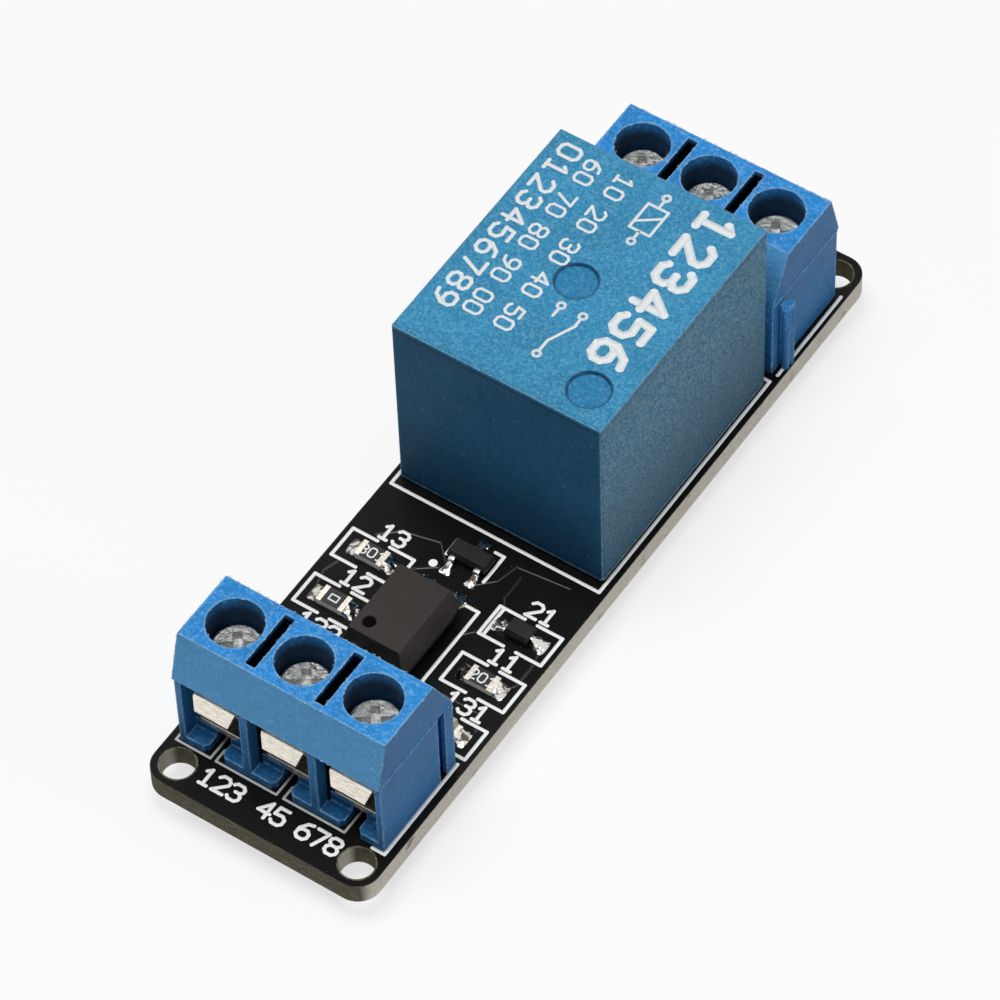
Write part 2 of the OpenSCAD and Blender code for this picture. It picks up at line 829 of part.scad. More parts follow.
diode_leg_w = 0.35;
diode_leg_t = 0.14;
diode_toe = diode_l / 2 + 0.45;
diode_toes = [for (a = [0, 180]) [diode_toe * cos(a), 0, a, diode_leg_t]];
module diode_leg_set()
    for (a = [90, 270])
        rotate(a)
            leg(diode_l / 2 - 0.25, diode_l / 2 + 0.15, diode_toe,
                diode_h / 2, diode_leg_w, diode_leg_t);

module diode()
    color("#2b2a2a")
        on_board(diode_place)
            difference() {
                package(diode_l, diode_w, diode_h, 0.05, 0.12);
                diode_leg_set();
            }

module diode_legs()
    color("silver")
        on_board(diode_place)
            diode_leg_set();

// The ceramic body of a chip, and the plated ends folded round it
plating = 0.03;
module chip_body(h)
    translate([-chip_l / 2 + plating, -chip_w / 2, plating])
        cube([chip_l - 2 * plating, chip_w, h - 2 * plating]);

module chip_ends(h)
    difference() {
        for (x = [-1, 1])
            translate([x * (chip_l - chip_end_l) / 2, 0, h / 2])
                cube([chip_end_l, chip_w, h], center = true);
        translate([-chip_l / 2 + plating, -chip_w / 2 - over, plating])
            cube([chip_l - 2 * plating, chip_w + 2 * over, h - 2 * plating]);
    }

module resistor(i)
    color("white")
        on_board(resistor_places[i])
            chip_body(resistor_h);

module resistor_ends()
    color("silver")
        for (p = resistor_places)
            on_board(p)
                chip_ends(resistor_h);

led_base_h = 0.3;
module led(i)
    color("honeydew")
        on_board(led_places[i])
            chip_body(led_base_h);

module led_ends()
    color("gold")
        for (p = led_places)
            on_board(p)
                chip_ends(led_base_h);

module led_lens(i)
    color("mistyrose")
        on_board(led_places[i])
            translate([0, 0, led_base_h - plating])
                along_y(chip_w)
                    polygon([
                        [-chip_l / 2 + chip_end_l, 0],
                        [-chip_l / 2 + chip_end_l + 0.1, led_h - led_base_h],
                        [chip_l / 2 - chip_end_l - 0.1, led_h - led_base_h],
                        [chip_l / 2 - chip_end_l, 0]]);

// -------------------------------------------------------------------- nodes

board();
pin_solder();
pad_solder();
at_input() housing();  // input_housing
at_output() housing();  // output_housing
for (i = [0 : poles - 1]) {
    at_input() contact(i);
    at_output() contact(i);
    at_input() guard(i);
    at_output() guard(i);
    at_input() screw(i);
    at_output() screw(i);
}
relay_case();
relay_base();
relay_bobbin();
relay_coil();
relay_core();
relay_yoke();
relay_armature();
relay_blade();
relay_moving_contact();
relay_open_terminal();
relay_closed_terminal();
relay_common_pin();
relay_coil_pin(-1);  // relay_coil_pin_1
relay_coil_pin(1);  // relay_coil_pin_2
optocoupler();
optocoupler_legs();
transistor();
transistor_legs();
diode();
diode_legs();
for (i = [0 : len(resistor_places) - 1])
    resistor(i);
resistor_ends();
for (i = [0 : len(led_places) - 1]) {
    led(i);
    led_lens(i);
}
led_ends();
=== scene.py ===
"""Looks of a single-channel relay module, built round its packed CAD frame.

The board, the terminal blocks, the relay and the small parts keep the shapes of
their CAD nodes. This script gives every node its finish, and adds what lies on
them: the printed lines and numbers, the copper tracks, the solder, the worn
edges of the mouldings, the stage and the camera.
"""

import json
import math
import random

import bmesh
import bpy
from mathutils import Euler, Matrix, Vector

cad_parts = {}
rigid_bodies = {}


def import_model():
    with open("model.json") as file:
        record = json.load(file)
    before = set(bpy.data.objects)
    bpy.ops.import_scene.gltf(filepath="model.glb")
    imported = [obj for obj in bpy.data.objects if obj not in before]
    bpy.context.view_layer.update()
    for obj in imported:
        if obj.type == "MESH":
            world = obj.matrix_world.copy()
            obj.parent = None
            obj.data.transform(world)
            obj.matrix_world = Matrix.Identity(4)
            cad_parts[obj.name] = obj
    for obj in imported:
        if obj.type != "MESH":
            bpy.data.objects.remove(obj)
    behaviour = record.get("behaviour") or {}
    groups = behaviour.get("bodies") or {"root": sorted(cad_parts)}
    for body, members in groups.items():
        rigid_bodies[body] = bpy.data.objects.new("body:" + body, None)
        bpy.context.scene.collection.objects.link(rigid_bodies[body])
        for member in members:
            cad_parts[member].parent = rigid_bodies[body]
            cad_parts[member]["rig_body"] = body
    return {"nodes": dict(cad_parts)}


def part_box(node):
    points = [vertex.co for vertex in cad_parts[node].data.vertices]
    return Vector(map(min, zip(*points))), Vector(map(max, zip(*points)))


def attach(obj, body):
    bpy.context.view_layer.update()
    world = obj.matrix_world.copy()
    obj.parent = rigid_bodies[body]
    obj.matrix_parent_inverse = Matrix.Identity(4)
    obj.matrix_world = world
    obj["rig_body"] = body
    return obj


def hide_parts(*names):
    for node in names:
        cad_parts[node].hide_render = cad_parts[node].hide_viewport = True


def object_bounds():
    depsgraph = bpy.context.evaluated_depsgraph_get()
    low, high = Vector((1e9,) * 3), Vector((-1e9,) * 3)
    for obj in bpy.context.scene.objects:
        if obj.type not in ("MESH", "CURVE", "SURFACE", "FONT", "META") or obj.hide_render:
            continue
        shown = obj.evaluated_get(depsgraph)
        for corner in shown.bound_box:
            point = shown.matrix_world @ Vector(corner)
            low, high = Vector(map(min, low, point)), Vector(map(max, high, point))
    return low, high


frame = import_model()
CAD_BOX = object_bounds()

bl_info = {
    "name": "Relay Module Board",
    "version": (1, 0, 0),
    "blender": (4, 5, 0),
    "location": "View3D > Sidebar > Relay Module",
    "description": "Dresses a relay module board with its finishes, print and solder",
    "category": "Add Mesh",
}

MM = 0.001


def tint(red, green, blue):
    """A linear colour from the 0 to 255 values that a screen shows."""
    def linear(level):
        level /= 255
        return level / 12.92 if level <= 0.04045 else ((level + 0.055) / 1.055) ** 2.4
    return (linear(red), linear(green), linear(blue), 1.0)


def corners(node):
    """The low and high corners of a CAD node's box, in millimetres."""
    low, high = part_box(node)
    return low / MM, high / MM


def middle(node):
    """The middle of a CAD node's box, in millimetres."""
    low, high = corners(node)
    return (low + high) / 2


def colour_prop(name, description, default):
    """A colour that a user can change."""
    return bpy.props.FloatVectorProperty(
        name=name, description=description, default=default,
        subtype="COLOR", size=4, min=0.0, max=1.0)


def length_prop(name, description, default):
    """A length that a user can change; its default is in millimetres."""
    return bpy.props.FloatProperty(
        name=name, description=description, default=default * MM,
        min=0.0, unit="LENGTH", subtype="DISTANCE", precision=5)


# ------------------------------------------------------------------ settings


class RelayModuleBoardSettings(bpy.types.PropertyGroup):
    """Finish of the circuit board, its print and its copper."""

    mask: colour_prop("Mask", "Colour of the solder mask", tint(12, 12, 12))
    laminate: colour_prop("Laminate", "Colour of the bare glass-fibre edge", tint(250, 244, 230))
    ink: colour_prop("Ink", "Colour of the printed lines and numbers", tint(255, 255, 253))
    line_width: length_prop("Line width", "Width of the printed outlines", 0.24)
    number_width: length_prop("Number width", "Stroke width of the printed numbers", 0.24)
    ink_thickness: length_prop("Ink thickness", "Height of the ink above the mask", 0.02)
    track_width: length_prop("Track width", "Width of the copper tracks under the mask", 0.22)
    track_thickness: length_prop("Track thickness", "Height of the tracks under the mask", 0.012)


class RelayModuleBlockSettings(bpy.types.PropertyGroup):
    """Finish of the two terminal blocks and their clamps."""

    plastic: colour_prop("Plastic", "Colour of the terminal housings", tint(42, 147, 226))
    # The worn edge colour is also the painted highlight on the housings' edges
    edge: colour_prop("Worn edge", "Colour of the rubbed edges of the housings", tint(146, 196, 238))
    contact: colour_prop("Contact", "Colour of the tinned contact strips", tint(206, 201, 190))
    guard: colour_prop("Guard", "Colour of the plated wire guards", tint(246, 240, 226))
    screw: colour_prop("Screw", "Colour of the clamp screws", tint(206, 207, 204))


class RelayModuleRelaySettings(bpy.types.PropertyGroup):
    """Finish of the relay."""

    case: colour_prop("Case", "Colour of the relay's case", tint(58, 164, 216))
    base: colour_prop("Base", "Colour of the relay's base plate", tint(24, 52, 78))
    ink: colour_prop("Ink", "Colour of the marks on the case", tint(232, 238, 240))
    winding: colour_prop("Winding", "Colour of the coil's wire", tint(168, 92, 48))


class RelayModuleDriverSettings(bpy.types.PropertyGroup):
    """Finish of the driver's small parts."""

    package: colour_prop("Package", "Colour of the moulded packages", tint(34, 28, 25))
    solder: colour_prop("Solder", "Colour of the solder", tint(214, 212, 206))
    resistor: colour_prop("Resistor", "Colour of the resistors' tops", tint(28, 27, 28))
    lens: colour_prop("Lens", "Colour of the light-emitting diodes' lenses", tint(226, 224, 206))
    solder_grain: length_prop("Solder grain", "Size of the ripples on the solder", 0.5)


class RelayModuleStageSettings(bpy.types.PropertyGroup):
    """Floor, light and camera."""

    floor: colour_prop("Floor", "Colour of the floor", tint(255, 255, 255))
    sky_strength: bpy.props.FloatProperty(
        name="Sky", description="Strength of the even light from all round",
        default=0.14, min=0.0)
    key_power: bpy.props.FloatProperty(
        name="Key light", description="Power of the soft light overhead",
        default=1.36, min=0.0, unit="POWER")
    side_power: bpy.props.FloatProperty(
        name="Side light", description="Power of the soft light at the side",
        default=0.29, min=0.0, unit="POWER")
    focal_length: bpy.props.FloatProperty(
        name="Focal length", description="Focal length of the camera",
        default=208.45, min=1.0, unit="CAMERA")
    camera_place: bpy.props.FloatVectorProperty(
        name="Camera place", description="Where the camera stands",
        default=(0.12771, -0.17870, 0.29664), subtype="TRANSLATION", unit="LENGTH")
    camera_turn: bpy.props.FloatVectorProperty(
        name="Camera turn", description="How the camera is turned",
        default=tuple(math.radians(a) for a in (37.02785, 1.54697, 34.03880)),
        subtype="EULER", unit="ROTATION")
    shift: bpy.props.FloatVectorProperty(
        name="Shift", description="Shift of the camera's frame",
        default=(0.01684, -0.00966), size=2, precision=4)


# ------------------------------------------------------------- node building


class Tree:
    """Adds nodes to a shader or geometry tree and wires them as it goes."""

    def __init__(self, tree):
        self.tree = tree

    def node(self, kind, inputs=None, **settings):
        """A new node with its inputs wired or set, and its own settings."""
        made = self.tree.nodes.new(kind)
        for name, value in settings.items():
            setattr(made, name, value)
        for name, value in (inputs or {}).items():
            socket = made.inputs[name]
            if isinstance(value, bpy.types.NodeSocket):
                self.tree.links.new(value, socket)
            else:
                socket.default_value = value
        return made

    def math(self, operation, a, b=0.5):
        return self.node("ShaderNodeMath", {0: a, 1: b}, operation=operation).outputs[0]

    def times(self, a, b):
        return self.math("MULTIPLY", a, b)

    def inverse(self, share):
        return self.math("SUBTRACT", 1.0, share)

    def apart(self, a, b):
        """How far apart two values are."""
        return self.math("ABSOLUTE", self.math("SUBTRACT", a, b))

    def vector(self, operation, a, b=(0, 0, 0), scale=1.0):
        made = self.node("ShaderNodeVectorMath", {0: a, 1: b, 3: scale}, operation=operation)
        return made.outputs["Value" if operation in ("LENGTH", "DISTANCE", "DOT_PRODUCT") else "Vector"]

    def mix(self, share, a, b):
        """Colour a where share is 0, towards b where it is 1."""
        return self.node("ShaderNodeMix", {0: share, 6: a, 7: b}, data_type="RGBA").outputs[2]

    def over(self, under, colour, pattern, low, high, share=1.0):
        """Lays a colour over another: none of it where the pattern is at low, its share at high."""
        return self.mix(self.span(pattern, low, high, 0.0, share), under, colour)

    def span(self, value, low, high, to_low=0.0, to_high=1.0, smooth=True):
        """Carries a value from the span low to high over to the span to_low to to_high."""
        ends = {"From Min": low, "From Max": high, "To Min": to_low, "To Max": to_high}
        return self.node(
            "ShaderNodeMapRange", {"Value": value, **ends},
            interpolation_type="SMOOTHSTEP" if smooth else "LINEAR").outputs["Result"]

    def noise(self, vector, scale, detail=2.0, roughness=0.5, distortion=0.0):
        return self.node(
            "ShaderNodeTexNoise",
            {"Vector": vector, "Scale": scale, "Detail": detail, "Roughness": roughness,
             "Distortion": distortion}).outputs[0]

    def dots(self, scale, reach, core, depth=1.0):
        """Scattered small dots: depth within their core and 0 beyond their reach."""
        cells = self.node("ShaderNodeTexVoronoi", {"Vector": self.mm, "Scale": scale})
        return self.span(cells.outputs["Distance"], reach, core, 0.0, depth)

    def bump(self, height, strength, distance, normal=None):
        inputs = {"Height": height, "Strength": strength, "Distance": distance}
        if normal is not None:
            inputs["Normal"] = normal
        return self.node("ShaderNodeBump", inputs).outputs[0]

    def seen(self):
        """1 for the camera, gloss and glass, and 0 for light that bounces."""
        path = self.node("ShaderNodeLightPath").outputs
        gloss = self.math("MAXIMUM", path["Is Glossy Ray"], path["Is Transmission Ray"])
        return self.math("MAXIMUM", path["Is Camera Ray"], gloss)


class Surface(Tree):
    """A material's tree, with the object's coordinates in millimetres."""

    def __init__(self, name):
        self.material = bpy.data.materials.new(name)
        self.material.use_nodes = True
        super().__init__(self.material.node_tree)
        self.tree.nodes.clear()
        self.output = self.node("ShaderNodeOutputMaterial")
        places = self.node("ShaderNodeTexCoord")
        self.mm = self.vector("SCALE", places.outputs["Object"], scale=1 / MM)
        self.normal = self.node("ShaderNodeNewGeometry").outputs["Normal"]

    def stretched(self, x, y, z):
        """The object's coordinates, scaled along each axis."""
        return self.vector("MULTIPLY", self.mm, (x, y, z))

    def axis(self, vector, index):
        return self.node("ShaderNodeSeparateXYZ", {0: vector}).outputs[index]

    def worn(self, radius, low=0.02, high=0.16):
        """1 on sharp outer edges and 0 on flats, from a rounded normal."""
        facing = self.vector("DOT_PRODUCT", self.rounded(radius), self.normal)
        return self.span(self.inverse(facing), low, high)

    def rounded(self, radius, samples=6):
        """The normal, smoothed across every edge within a radius."""
        return self.node("ShaderNodeBevel", {"Radius": radius * MM}, samples=samples).outputs[0]

    def finish(self, **sockets):
        """Closes the material with a shader whose sockets are given by name."""
        names = {key.replace("_", " ").title().replace("Ior", "IOR"): value
                 for key, value in sockets.items()}
        shader = self.node("ShaderNodeBsdfPrincipled", names)
        self.tree.links.new(shader.outputs[0], self.output.inputs["Surface"])
        return self.material


def scaled(colour, factor):
    """A colour made brighter or darker."""
    return (*(min(1.0, channel * factor) for channel in colour[:3]), 1.0)


# ----------------------------------------------------------------- materials

# Places and sizes on the nodes, in millimetres
CORNER_HOLE_INSET = 1.7
CORNER_HOLE_R = 1.15
# Terminal blocks: the screw wells, the slots between them and the outline of the top
WELL_R = 1.85
SCREW_PITCH = 5.08
SLOT_W = 0.75
SLOT_REACH = 2.4
SLOT_FROM, SLOT_TO = 1.42, 5.68
TOP_FROM, TOP_TO = 1.0, 6.1
BLOCK_HALF_W = 7.62
LIP_FROM, LIP_Z = 0.02, 10.1
BLOCKS = ("input", "output")
POLES = (1, 2, 3)
# Slivers left on the housings' edges: how far apart, how large, and how many are kept
BURR_SPACING, BURR_SIZE, BURR_SHARE = 0.18, 0.03, 0.62
# Relay: the round dimples in its lid, the lid's rim, and how high the painted shade reaches
DIMPLES = ((0.0, 7.27), (5.35, 0.58))
DIMPLE_R = 1.4
LID_RIM = 0.42
PAINTED_SHADE_HEIGHT = 13
# How quickly one ripple of wire follows another up the coil
WINDING_RATE = 60.0


def mask_and_laminate(look):
    """The board: glossy mask on both faces, bare fibre on its edges and holes."""
    s = Surface("Board")
    low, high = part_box("board")
    size = (high - low) / MM
    across = s.math("ABSOLUTE", s.axis(s.normal, 0))
    facing = s.math("ABSOLUTE", s.axis(s.normal, 2))
    face = s.span(facing, 0.6, 0.9)
    # Bare ring where the mask stops short of each corner hole and of the edges
    inset = CORNER_HOLE_INSET
    centre = (size.x / 2 - inset, size.y / 2 - inset, 0)
    flat = s.vector("MULTIPLY", s.vector("ABSOLUTE", s.mm), (1, 1, 0))
    ring = s.vector("DISTANCE", flat, centre)
    ragged = s.noise(s.mm, 3.0, 3.0)
    ring = s.math("ADD", ring, s.times(ragged, 0.12))
    ring = s.span(ring, CORNER_HOLE_R + 0.1, CORNER_HOLE_R + 0.2)
    rim = s.inverse(s.vector("DOT_PRODUCT", s.rounded(0.12, 4), s.normal))
    rim = s.span(s.math("ADD", rim, s.times(s.noise(s.mm, 6.0, 3.0), 0.1)), 0.1, 0.16)
    covered = s.times(s.times(face, ring), s.inverse(rim))
    # Mask: faint blotches and a few specks of dust
    blotch = s.noise(s.mm, 0.35, 3.0)
    mask = s.over(look.mask[:], scaled(look.mask, 1.5), blotch, 0.3, 0.7)
    mask = s.mix(s.dots(1.1, 0.05, 0.03, 0.4), mask, tint(120, 120, 118))
    # Laminate: layers of cloth seen end on, ragged and stained
    layers = s.noise(s.stretched(1.0, 1.0, 9.0), 1.6, 4.0, 0.65)
    fibres = s.noise(s.stretched(3.0, 3.0, 14.0), 2.4, 3.0, 0.7)
    torn = s.over(look.laminate[:], tint(244, 236, 218), layers, 0.4, 0.6)
    torn = s.over(torn, tint(255, 255, 255), fibres, 0.52, 0.64)
    torn = s.over(torn, tint(168, 150, 120), fibres, 0.46, 0.38, 0.5)
    milled = s.over(tint(128, 124, 106), tint(94, 87, 68), layers, 0.4, 0.6)
    milled = s.over(milled, tint(160, 155, 138), fibres, 0.52, 0.64)
    milled = s.over(milled, tint(48, 42, 30), fibres, 0.45, 0.34, 0.7)
    long_side = s.span(across, 0.6, 0.95)
    edge = s.mix(long_side, milled, torn)
    edge = s.mix(s.span(s.noise(s.mm, 0.8, 2.0), 0.62, 0.85, 0.0, 0.8), edge, tint(118, 98, 72))
    rough_edge = s.bump(fibres, 0.8, 0.2 * MM)
    smooth_mask = s.bump(s.noise(s.mm, 1.1, 3.0), 0.12, 0.03 * MM)
    normal = s.node(
        "ShaderNodeMix", {0: covered, 4: rough_edge, 5: smooth_mask}, data_type="VECTOR").outputs[1]
    return s.finish(
        base_color=s.mix(covered, edge, mask),
        roughness=s.span(covered, 0, 1, 0.85, 0.36, smooth=False),
        specular_ior_level=0.1, normal=normal)


def printed(name, ink, worn_share):
    """Screen-printed ink: even, a little open where the screen printed thin."""
    s = Surface(name)
    grain = s.noise(s.mm, 9.0, 3.0, 0.6)
    colour = s.mix(s.span(grain, 0.66 - worn_share, 0.9), ink[:], scaled(ink, 0.7))
    return s.finish(
        base_color=colour, roughness=0.55,
        normal=s.bump(grain, 0.25, 0.01 * MM))


def masked_copper(look):
    """Tracks lying under the mask, a shade lighter than the board round them."""
    s = Surface("Masked copper")
    blotch = s.noise(s.mm, 0.8, 3.0)
    return s.finish(
        base_color=s.mix(blotch, scaled(look.mask, 1.3), scaled(look.mask, 2.4)),
        roughness=0.3, normal=s.bump(s.noise(s.mm, 2.0, 3.0), 0.15, 0.02 * MM))


def housing_plastic(look):
    """Injection-moulded blue with rubbed edges that carry a painted highlight, mottling, scuffs, a soft
    gloss, a painted sheen on the slopes and painted shade on the ends, towards the board and down the
    wells and slots.
    """
    s = Surface("Housing plastic")
    cloud = s.noise(s.mm, 0.45, 3.0)
    base = s.over(look.plastic[:], scaled(look.plastic, 0.84), cloud, 0.35, 0.65)
    mottle = s.noise(s.mm, 4.2, 4.0, 0.7, 0.3)
    base = s.over(base, look.edge[:], mottle, 0.51, 0.62, 0.36)
    base = s.over(base, scaled(look.plastic, 0.6), mottle, 0.49, 0.4, 0.45)
    scuff = s.noise(s.stretched(0.7, 3.0, 1.4), 1.7, 6.0, 0.75, 0.8)
    base = s.over(base, look.edge[:], scuff, 0.56, 0.66, 0.6)
    # Short dark gouges, in patches
    gouge = s.noise(s.stretched(1.3, 1.3, 2.6), 1.5, 3.0, 0.6, 1.4)
    gouge = s.span(s.apart(gouge, 0.5), 0.005, 0.016, 0.7, 0.0)
    gouge = s.times(gouge, s.span(s.noise(s.mm, 0.55, 2.0), 0.54, 0.6))
    base = s.mix(gouge, base, scaled(look.plastic, 0.35))
    # Painted sheen on the slopes, and painted shade on the ends and towards the board
    board_side = corners("input_housing")[0].z
    height = s.axis(s.mm, 2)
    level = s.math("ABSOLUTE", s.axis(s.normal, 2))
    painted_slope_sheen = s.times(s.span(level, 0.15, 0.25), s.span(level, 0.75, 0.6))
    base = s.mix(s.times(painted_slope_sheen, 0.45), base, tint(128, 206, 255))
    # film holds painted shade: darker on the end faces and towards the board
    ends = s.span(s.math("ABSOLUTE", s.axis(s.normal, 0)), 0.8, 0.95, 0.0, 0.5)
    film = s.math("MAXIMUM", ends, s.span(height, board_side, LIP_Z, 0.62, 0.0))
    base = s.mix(film, base, scaled(look.plastic, 0.22))
    nicks = s.times(s.dots(1.3, 0.07, 0.03), 0.75)
    base = s.mix(nicks, base, tint(214, 230, 242))
    # Pale rubbed edges: partly wear, partly a painted highlight
    broken = s.span(s.noise(s.mm, 2.6, 4.0, 0.7), 0.4, 0.58, 0.25, 1.0)
    base = s.mix(s.times(s.worn(0.22, 0.006, 0.07), broken), base, look.edge[:])
    # Painted shade down the screw wells and the slots
    base = s.mix(painted_hollow_shade(s), base, tint(3, 9, 26))
    dents = s.noise(s.stretched(1.0, 1.6, 1.0), 1.5, 5.0, 0.72, 0.8)
    normal = s.bump(dents, 0.6, 0.16 * MM, s.bump(mottle, 0.6, 0.08 * MM, s.rounded(0.1)))
    return s.finish(
        base_color=base,
        roughness=s.span(mottle, 0.4, 0.6, 0.34, 0.56),
        specular_ior_level=0.16, normal=normal)


def painted_hollow_shade(s):
    """0 outside, towards 1 down the screw wells and the slots: where the housing takes its painted
    shade.
    """
    top = corners("input_housing")[1].z
    screw_low, screw_high = corners("input_screw_2")
    screw_y = abs(screw_low.y + screw_high.y) / 2
    screws = [sum(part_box(f"input_screw_{i}"), Vector()).x for i in (2, 3)]
    pitch = (screws[1] - screws[0]) / 2 / MM
    x, y, z = (s.axis(s.mm, i) for i in range(3))
    down = s.math("SUBTRACT", top, z)
    wrap = s.node("ShaderNodeMath", {0: x, 1: -pitch / 2, 2: pitch / 2}, operation="WRAP")
    from_pole = wrap.outputs[0]
    from_row = s.math("SUBTRACT", s.math("ABSOLUTE", y), screw_y)
    squares = s.math("ADD", s.times(from_pole, from_pole), s.times(from_row, from_row))
    radius = s.math("SQRT", squares)
    in_well = s.math("LESS_THAN", radius, WELL_R + 0.05)
    well = s.times(in_well, s.span(down, 0.08, 1.3, 0.0, 0.86))
    off_middle = s.apart(s.math("ABSOLUTE", x), pitch / 2)
    in_slot = s.times(
        s.math("LESS_THAN", off_middle, SLOT_W / 2 + 0.03),
        s.math("LESS_THAN", s.math("ABSOLUTE", from_row), SLOT_REACH))
    slot = s.times(in_slot, s.span(down, 0.05, 0.6, 0.0, 1.0))
    return s.math("MAXIMUM", well, slot)


def case_plastic(look):
    """Spark-eroded texture of the relay's case, with a painted highlight along its edges and painted
    shade towards the board, on the front, under the lid's rim and in and round its dimples.
    """
    s = Surface("Relay case plastic")
    low, high = corners("relay_case")
    height = s.axis(s.mm, 2)
    upright = s.inverse(s.math("ABSOLUTE", s.axis(s.normal, 2)))
    cloud = s.noise(s.mm, 0.3, 3.0)
    base = s.over(look.case[:], scaled(look.case, 0.86), cloud, 0.35, 0.65)
    grain = s.noise(s.mm, 5.4, 4.0, 0.7, 0.3)
    base = s.over(base, tint(150, 194, 214), grain, 0.51, 0.6, 0.4)
    base = s.over(base, scaled(look.case, 0.5), grain, 0.49, 0.41, 0.6)
    leather = s.noise(s.mm, 5.2, 3.0, 0.6, 0.6)
    towards_front = s.span(s.axis(s.normal, 1), -0.9, -0.6, 1.0, 0.0)
    flank = s.times(upright, s.inverse(s.times(towards_front, 0.75)))
    # Pale and dark specks of the grain on the sides: partly the grain's own tone, partly painted
    # highlight and shade on its slopes
    pale = s.times(flank, s.span(leather, 0.5, 0.6, 0.0, 0.7))
    base = s.mix(pale, base, tint(140, 168, 182))
    dark = s.times(flank, s.span(leather, 0.53, 0.43, 0.0, 0.9))
    base = s.mix(dark, base, scaled(look.case, 0.32))
    # Painted shade towards the board and on the front, grey smudges and pale specks
    # film holds painted shade: darker towards the board and on the front
    film = s.times(upright, s.span(height, low.z, low.z + PAINTED_SHADE_HEIGHT, 0.84, 0.0))
    film = s.math("MAXIMUM", film, s.times(towards_front, 0.3))
    base = s.mix(film, base, scaled(look.case, 0.2))
    base = s.mix(s.times(towards_front, 0.4), base, tint(6, 44, 92))
    smudge = s.span(s.noise(s.stretched(0.7, 0.7, 0.5), 0.8, 5.0, 0.7, 0.5), 0.58, 0.72, 0.0, 0.16)
    base = s.mix(s.times(smudge, upright), base, tint(128, 140, 148))
    specks = s.times(s.dots(0.9, 0.05, 0.03), 0.75)
    base = s.mix(specks, base, tint(196, 212, 220))
    # Painted shade inside each dimple and a painted shade line at its rim
    flat = s.vector("MULTIPLY", s.mm, (1, 1, 0))
    shaded = s.inverse(upright)
    for x, y in DIMPLES:
        away = s.vector("DISTANCE", flat, (x, y, 0))
        inside = s.times(s.math("LESS_THAN", away, DIMPLE_R), 0.3)
        rim = s.span(s.apart(away, DIMPLE_R), 0.05, 0.13, 0.75, 0.0)
        base = s.mix(s.times(inside, shaded), base, tint(14, 112, 178))
        base = s.mix(s.times(rim, shaded), base, tint(14, 62, 104))
    # Painted highlight along every edge, and the painted shade line under the lid's rim
    reach = s.vector("ABSOLUTE", s.vector("SUBTRACT", s.mm, (low + high) / 2))
    inset = s.vector("SUBTRACT", (high - low) / 2, reach)
    near = [s.span(s.axis(inset, i), 0.07, 0.15, 1.0, 0.0) for i in range(3)]
    on_lid = s.times(near[2], s.math("MAXIMUM", near[0], near[1]))
    # rubbed holds the painted highlight along the case's edges
    rubbed = s.math("MAXIMUM", s.times(near[0], near[1]), on_lid)
    broken = s.span(s.noise(s.mm, 1.8, 4.0, 0.7), 0.4, 0.6, 0.35, 0.95)
    base = s.mix(s.times(rubbed, broken), base, tint(158, 204, 226))
    below = s.span(s.apart(s.axis(inset, 2), LID_RIM), 0.03, 0.11, 0.6, 0.0)
    base = s.mix(s.times(below, upright), base, tint(10, 40, 66))
    return s.finish(
        base_color=base,
        roughness=s.span(grain, 0.4, 0.6, 0.36, 0.6),
        specular_ior_level=s.span(towards_front, 0, 1, 0.26, 0.06, smooth=False),
        normal=s.bump(grain, 1.0, 0.2 * MM, s.rounded(0.14)))


def plain_plastic(name, colour, grain, roughness, wear=0.3, gloss=0.5):
    """Moulded plastic with a fine grain and slightly paler edges."""
    s = Surface(name)
    fine = s.noise(s.mm, grain, 4.0, 0.65)
    base = s.mix(s.span(fine, 0.35, 0.75), colour[:], scaled(colour, 1.35))
    base = s.mix(s.times(s.worn(0.06), wear), base, scaled(colour, 3.0))
    return s.finish(
        base_color=base,
        roughness=s.span(fine, 0.3, 0.7, roughness - 0.06, roughness + 0.08),
        specular_ior_level=gloss,
        normal=s.bump(fine, 0.22, 0.02 * MM, s.rounded(0.05)))


def package_plastic(name, colour):
    """Dark epoxy with a grey bloom and faint warm specks."""
    s = Surface(name)
    fine = s.noise(s.mm, 5.0, 5.0, 0.75)
    base = s.over(colour, scaled(colour, 1.6), fine, 0.48, 0.66)
    specks = s.times(s.dots(3.0, 0.11, 0.05), 0.5)
    base = s.mix(specks, base, tint(112, 76, 62))
    base = s.mix(s.times(s.worn(0.07), 0.4), base, tint(104, 102, 100))
    return s.finish(
        base_color=base, roughness=s.span(fine, 0.3, 0.7, 0.44, 0.6), specular_ior_level=0.3,
        normal=s.bump(fine, 0.6, 0.05 * MM, s.rounded(0.06)))


def plated(name, colour, roughness, grain, pits=0.3, warm=None, relief=0.03, brush=(1, 1, 1)):
    """Plated metal: rolled grain, small pits and dull patches."""
    s = Surface(name)
    rolled = s.noise(s.stretched(*brush), grain, 4.0, 0.65)
    patch = s.noise(s.mm, 1.1, 3.0)
    base = s.mix(s.span(rolled, 0.42, 0.6), colour[:], scaled(colour, 0.72))
    if warm is not None:
        base = s.over(base, warm, patch, 0.5, 0.8, 0.6)
    holes = s.dots(grain * 0.9, 0.1, 0.02)
    base = s.mix(s.times(holes, pits), base, scaled(colour, 0.25))
    height = s.math("SUBTRACT", rolled, s.times(holes, pits))
    return s.finish(
        base_color=base, metallic=1.0,
        roughness=s.span(patch, 0.3, 0.75, roughness - 0.05, roughness + 0.12),
        normal=s.bump(height, 0.7, relief * MM, s.rounded(0.05)))


